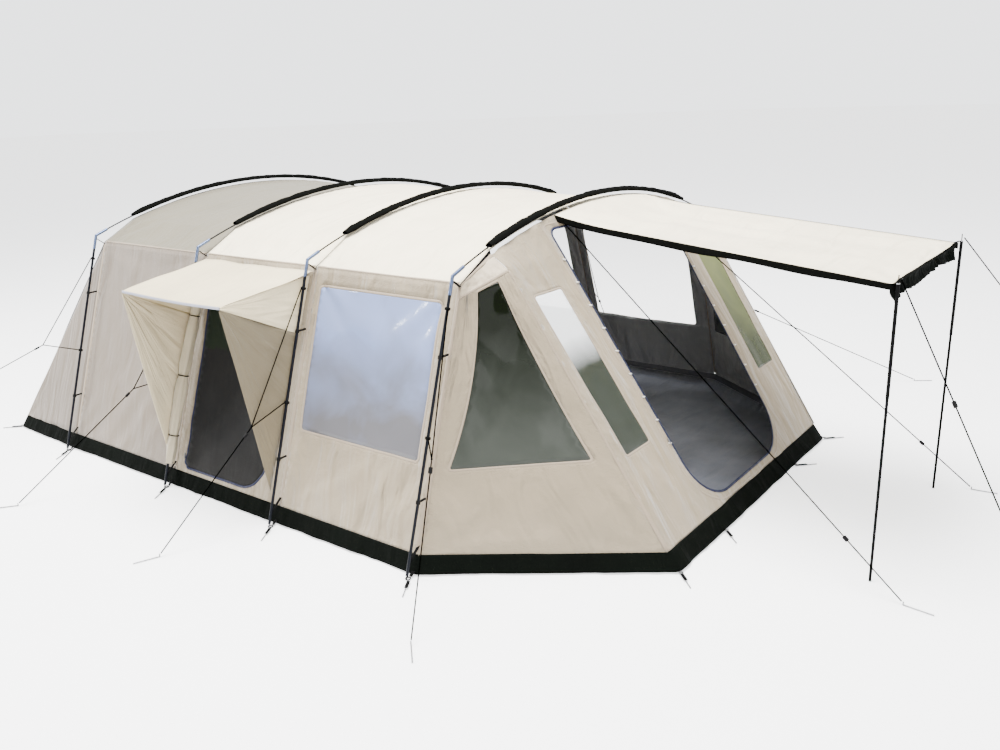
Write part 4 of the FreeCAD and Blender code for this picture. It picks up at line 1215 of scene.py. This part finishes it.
def rolled_door():
    """Outer door rolled up beside the doorway and tied three times."""
    low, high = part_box("rolled_side_door")
    inset = Vector((0.030, 0.028, 0.010))
    foot, top = Vector(low) + inset, Vector(high) - inset
    ties = (0.16, 0.50, 0.84)
    turns, around = 90, 28
    points = []
    side_axis = Vector((1, 0, 0))
    along_axis = (top - foot).normalized()
    out_axis = side_axis.cross(along_axis)

    def middle(share):
        return foot + (top - foot) * share - side_axis * 0.014 * math.sin(math.pi * share)

    for row in range(turns + 1):
        share = row / turns
        squeeze = min(abs(share - tie) for tie in ties)
        radius = ROLL_RADIUS * (0.80 + 0.20 * min(1, squeeze / 0.06))
        radius *= 0.75 + 0.25 * min(1, share * 9, (1 - share) * 9)
        for column in range(around):
            angle = 2 * math.pi * column / around
            fold = 1 + 0.16 * float(noise(column * 0.9, share * 5, 105)) * min(1, squeeze / 0.04)
            fold *= 1 + 0.08 * math.sin(angle * 5 + share * 9)
            spoke = side_axis * math.cos(angle) + out_axis * math.sin(angle)
            points.append(middle(share) + spoke * radius * fold * 0.94)
    faces = grid_faces(turns + 1, around, True)
    faces += [tuple(range(around)), tuple(range(turns * around, (turns + 1) * around))]
    obj = closed_mesh("rolled_door_cloth", points, faces)
    dress(obj, ROLL, "tent", ["rolled_side_door"])
    for index, tie in enumerate(ties):
        band = torus(f"roll_tie_{index + 1}", ROLL_RADIUS * 0.88, 0.004)
        band.location = middle(tie)
        aim(band, along_axis)
        dress(band, WEBBING)


# ------------------------------------------------------------------ small sewn pieces

def closed_mesh(name, points, faces):
    mesh = bpy.data.meshes.new(name)
    mesh.from_pydata([tuple(point) for point in points], [], faces)
    mesh.shade_smooth()
    return add_object(name, mesh)


def torus(name, major, minor, around=32, section=12):
    points = []
    for row in range(around):
        turn = 2 * math.pi * row / around
        for column in range(section):
            angle = 2 * math.pi * column / section
            radius = major + minor * math.cos(angle)
            points.append((radius * math.cos(turn), radius * math.sin(turn), minor * math.sin(angle)))
    faces = [tuple(corner % len(points) for corner in reversed(face))
             for face in grid_faces(around + 1, section, True)]
    return closed_mesh(name, points, faces)


def strap(name, start, end, width, body="tent", wide_axis=None, slack=0.0):
    """Flat webbing from one point to another."""
    start, end = Vector(start), Vector(end)
    along = (end - start).normalized()
    wide = Vector(wide_axis) if wide_axis else along.cross(Vector((0, 0, 1))).normalized()
    normal = wide.cross(along).normalized()
    count = 9
    points, uvs = [], []
    for index in range(count):
        share = index / (count - 1)
        middle = lerp(start, end, share) - normal * slack * math.sin(math.pi * share)
        points += [middle - wide * width / 2, middle + wide * width / 2]
        uvs += [(index * 0.01, 0), (index * 0.01, width)]
    obj = make_mesh(name, points, grid_faces(count, 2, False), np.array(uvs))
    return dress(thicken(obj, 0.0016), WEBBING, body)


GUY_TABS = (("upper", 1.52), ("lower", 0.80))


def band_round_leg(name, arch, side, z):
    """Webbing loop round a leg, where a guy line starts."""
    band = torus(name, 0.0145, 0.003)
    band.scale = (1, 1, 3)
    band.location = leg_point(arch, side, z)
    aim(band, leg_point(arch, side, 1.7) - leg_point(arch, side, 0))
    dress(band, WEBBING)


def peg_loops():
    """Webbing loops from the skirt's corners to their pegs."""
    front = facet_point(0, 0.03).x
    spots = []
    for side in (NEAR, FAR):
        spots += [("front", side, (front - 0.01, FRONT_HALF - 0.01, 0.035),
                   (FRONT_X + 0.012, FRONT_HALF + 0.008)),
                  ("door", side, (front - 0.004, 0.62, 0.035), (FRONT_X + 0.012, 0.62)),
                  ("rear", side, (REAR_X + 0.02, REAR_HALF - 0.015, 0.03),
                   (REAR_X - 0.012, REAR_HALF + 0.004))]
    for place, side, (x, y, z), (peg_x, peg_y) in spots:
        tag = f"{place}_{side_name(side)}"
        start, end = Vector((x, side * y, z)), Vector((peg_x, side * peg_y, 0.008))
        strap(f"peg_loop_{tag}", start, end, 0.025)
        outward = Vector((math.copysign(1, end.x), side, 0)).normalized()
        tail = end + Vector((0, 0, 0.003))
        strap(f"peg_tail_{tag}", tail, tail + outward * 0.085, 0.022)
        buckle = torus(f"peg_buckle_{tag}", 0.012, 0.0025)
        buckle.location = end + Vector((0, 0, 0.006))
        dress(buckle, ZIP)


def webbing():
    """Straps from the elbows to the fabric corners and from the skirt to the foot pins."""
    peg_loops()
    for arch in ARCHES:
        for side in (NEAR, FAR):
            tag = f"{side_name(side)}_{arch}"
            corner = wall_point(arch_x[arch], side, WALL_TOP_Z - 0.015, 0.002)
            bend = leg_point(arch, side, 1.672) - Vector((0, side * 0.012, 0))
            piece = strap(f"corner_strap_{tag}", corner, bend, 0.025, wide_axis=(1, 0, 0))
            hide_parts("webbing_straps")
            skirt_edge = wall_point(arch_x[arch], side, 0.03, 0.004)
            ring_end = Vector((arch_x[arch], side * 2.153, 0.006))
            strap(f"foot_strap_{tag}", skirt_edge, ring_end, 0.025, wide_axis=(1, 0, 0), slack=0.004)
            wall_spot = wall_point(arch_x[arch], side, 0.17, 0.003)
            leg_spot = leg_point(arch, side, 0.10) - Vector((0, side * 0.010, 0))
            strap(f"leg_strap_{tag}", wall_spot, leg_spot, 0.02, wide_axis=(1, 0, 0))
            peg_head = leg_point(arch, side, 0.012) + Vector((0.030, side * 0.016, 0))
            tail_end = peg_head + Vector((0.6, side, 0)).normalized() * 0.08
            strap(f"foot_tail_{tag}", peg_head, tail_end, 0.022)
            for label, z in GUY_TABS:
                band_round_leg(f"guy_loop_{label}_{tag}", arch, side, z)


# ------------------------------------------------------------------ guy lines

CORD_DIAMETER = 0.008


FORK_GAP = 0.060
TAIL_PAST_RUNNER = 0.190
LEG_RADIUS = 0.0125
# place, share of the line its runner can travel, and the line's start and end as shares from the runner
FRONT_GUYS = (("header", 0.60, 0.86, -0.14), ("awning", 0.55, -0.35, 0.65))


def straight_cord(name, start, end):
    """One taut line as a straight NURBS curve."""
    curve = bpy.data.curves.new(name, "CURVE")
    curve.dimensions = "3D"
    curve.bevel_depth = CORD_DIAMETER / 2
    curve.bevel_resolution = 3
    curve.use_fill_caps = True
    spline = curve.splines.new("NURBS")
    spline.points.add(4)
    for index, point in enumerate(spline.points):
        point.co = (*lerp(start, end, index / 4), 1)
    spline.order_u = 3
    spline.use_endpoint_u = True
    obj = dress(add_object(name, curve), CORD)
    tuple(start)
    return obj


def knot(name, place):
    ball = torus(name, 0.0042, 0.003, 16, 8)
    ball.location = place
    dress(ball, CORD)


def joint_of(runner):
    return next(joint for joint in frame["joints"] if joint["child"] == f"{runner}_body")


def guys():
    """Y-shaped guys on the legs, and straight ones from the header and the pole spikes."""
    for side in (NEAR, FAR):
        for arch in ARCHES:
            tag = f"{side_name(side)}_{arch}"
            joint = joint_of(f"runner_{tag}")
            along = Vector(joint["axis"])
            fork = box_middle(f"runner_{tag}") - along * FORK_GAP
            foot = fork + along * (joint["range_m"][1] + TAIL_PAST_RUNNER)
            main = straight_cord(f"guy_{tag}", fork, foot)
            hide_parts("side_guys")
            for label, z in GUY_TABS:
                tab = leg_point(arch, side, z)
                down = (leg_point(arch, side, 0) - tab).normalized()
                towards = fork - tab
                across = (towards - down * towards.dot(down)).normalized()
                start = tab + across * (LEG_RADIUS + CORD_DIAMETER / 2)
                straight_cord(f"guy_{label}_{tag}", start, fork)
            knot(f"guy_knot_{tag}", fork)
    for place, travel, first, last in FRONT_GUYS:
        for side in (NEAR, FAR):
            name = f"{place}_{side_name(side)}"
            joint = joint_of(f"runner_{name}")
            middle, along = box_middle(f"runner_{name}"), Vector(joint["axis"])
            length = joint["range_m"][1] / travel
            start, end = middle + along * length * first, middle + along * length * last
            line = straight_cord(f"guy_{name}", start, end)
            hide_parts("front_guys")


# ------------------------------------------------------------------ camera, light and floor

CAMERA_PLACE = (5.058, -5.580, 2.699)
CAMERA_TURN_PITCH_ROLL = (37.517, 17.235, -2.117)
LENS_MM = 32.78
SENSOR_MM = 36


def camera():
    """Three-quarter view from the near front, a little above the roof."""
    turn, pitch, roll = (math.radians(angle) for angle in CAMERA_TURN_PITCH_ROLL)
    back = Vector((math.sin(turn) * math.cos(pitch), -math.cos(turn) * math.cos(pitch), math.sin(pitch)))
    level = Vector((math.cos(turn), math.sin(turn), 0))
    upright = back.cross(level)
    right = level * math.cos(roll) + upright * math.sin(roll)
    up = upright * math.cos(roll) - level * math.sin(roll)
    data = bpy.data.cameras.new("camera")
    data.sensor_width = SENSOR_MM
    data.lens = LENS_MM
    data.clip_end = 100
    obj = add_object("camera", data)
    matrix = Matrix((right, up, back)).transposed().to_4x4()
    matrix.translation = CAMERA_PLACE
    obj.matrix_world = matrix
    bpy.context.scene.camera = obj


def area_light(name, place, target, size, power):
    data = bpy.data.lights.new(name, "AREA")
    data.size = size
    data.energy = power
    obj = add_object(name, data)
    obj.location = place
    aim(obj, Vector(target) - Vector(place), "-Z")


def seen_strength(owner, socket, lighting, seen):
    """One strength for the light a surface gives, another for how it looks to the camera."""
    nodes, links = owner.node_tree.nodes, owner.node_tree.links
    path = nodes.new("ShaderNodeLightPath")
    strength = nodes.new("ShaderNodeMapRange")
    strength.inputs["To Min"].default_value = lighting
    strength.inputs["To Max"].default_value = seen
    links.new(path.outputs["Is Camera Ray"], strength.inputs["Value"])
    links.new(strength.outputs["Result"], socket)


LIGHTS = (("overhead", (1.0, -2.0, 10.0), (0, 0, 0.5), 6, 4600),
          ("front_fill", (9.5, -5.5, 4.0), (1.5, 0, 0.8), 6, 480),
          ("side_fill", (-8.5, -7.0, 5.0), (0.5, -1.5, 0.8), 2.2, 1250))
FLOOR_SIZE = 190


def studio():
    """Pale plain floor, one large soft light overhead, weaker fills and a pale world."""
    bpy.ops.mesh.primitive_plane_add(size=FLOOR_SIZE, location=(0, 0, -0.002))
    floor = bpy.context.object
    floor.name = "floor"
    material = Look("floor_paper").finish({"Base Color": grey(0.90), "Roughness": 0.9,
                                           "Emission Color": grey(1.0)})
    shader = material.node_tree.nodes["Principled BSDF"]
    seen_strength(material, shader.inputs["Emission Strength"], 0.0, 1.5)
    floor.data.materials.append(material)
    for light in LIGHTS:
        area_light(*light)
    world = bpy.data.worlds.new("studio")
    world.use_nodes = True
    world.node_tree.nodes["Background"].inputs["Color"].default_value = (0.96, 0.98, 1.0, 1)
    seen_strength(world, world.node_tree.nodes["Background"].inputs["Strength"], 1.35, 2.9)
    bpy.context.scene.world = world


camera()
paint_frame()
guys()
for wall_side in (NEAR, FAR):
    side_wall(1, wall_side, REAR, None, 11 + wall_side)
    side_wall(3, wall_side, WALL, "window", 17 + wall_side)
    wing(wall_side)
side_wall(2, NEAR, WALL, "door", 14)
side_wall(2, FAR, WALL, "window", 15)
roof_bay(1, "roof_rear_bay", REAR_ROOF, 21)
roof_bay(2, "roof_middle_bay", ROOF, 22)
roof_bay(3, "roof_front_bay", ROOF, 23)
front_panel()
rear_end()
skirt()
groundsheet()
bedroom_wall()
for arch_number in ARCHES:
    sleeve(arch_number)
awning()
side_porch()
rolled_door()
webbing()
studio()
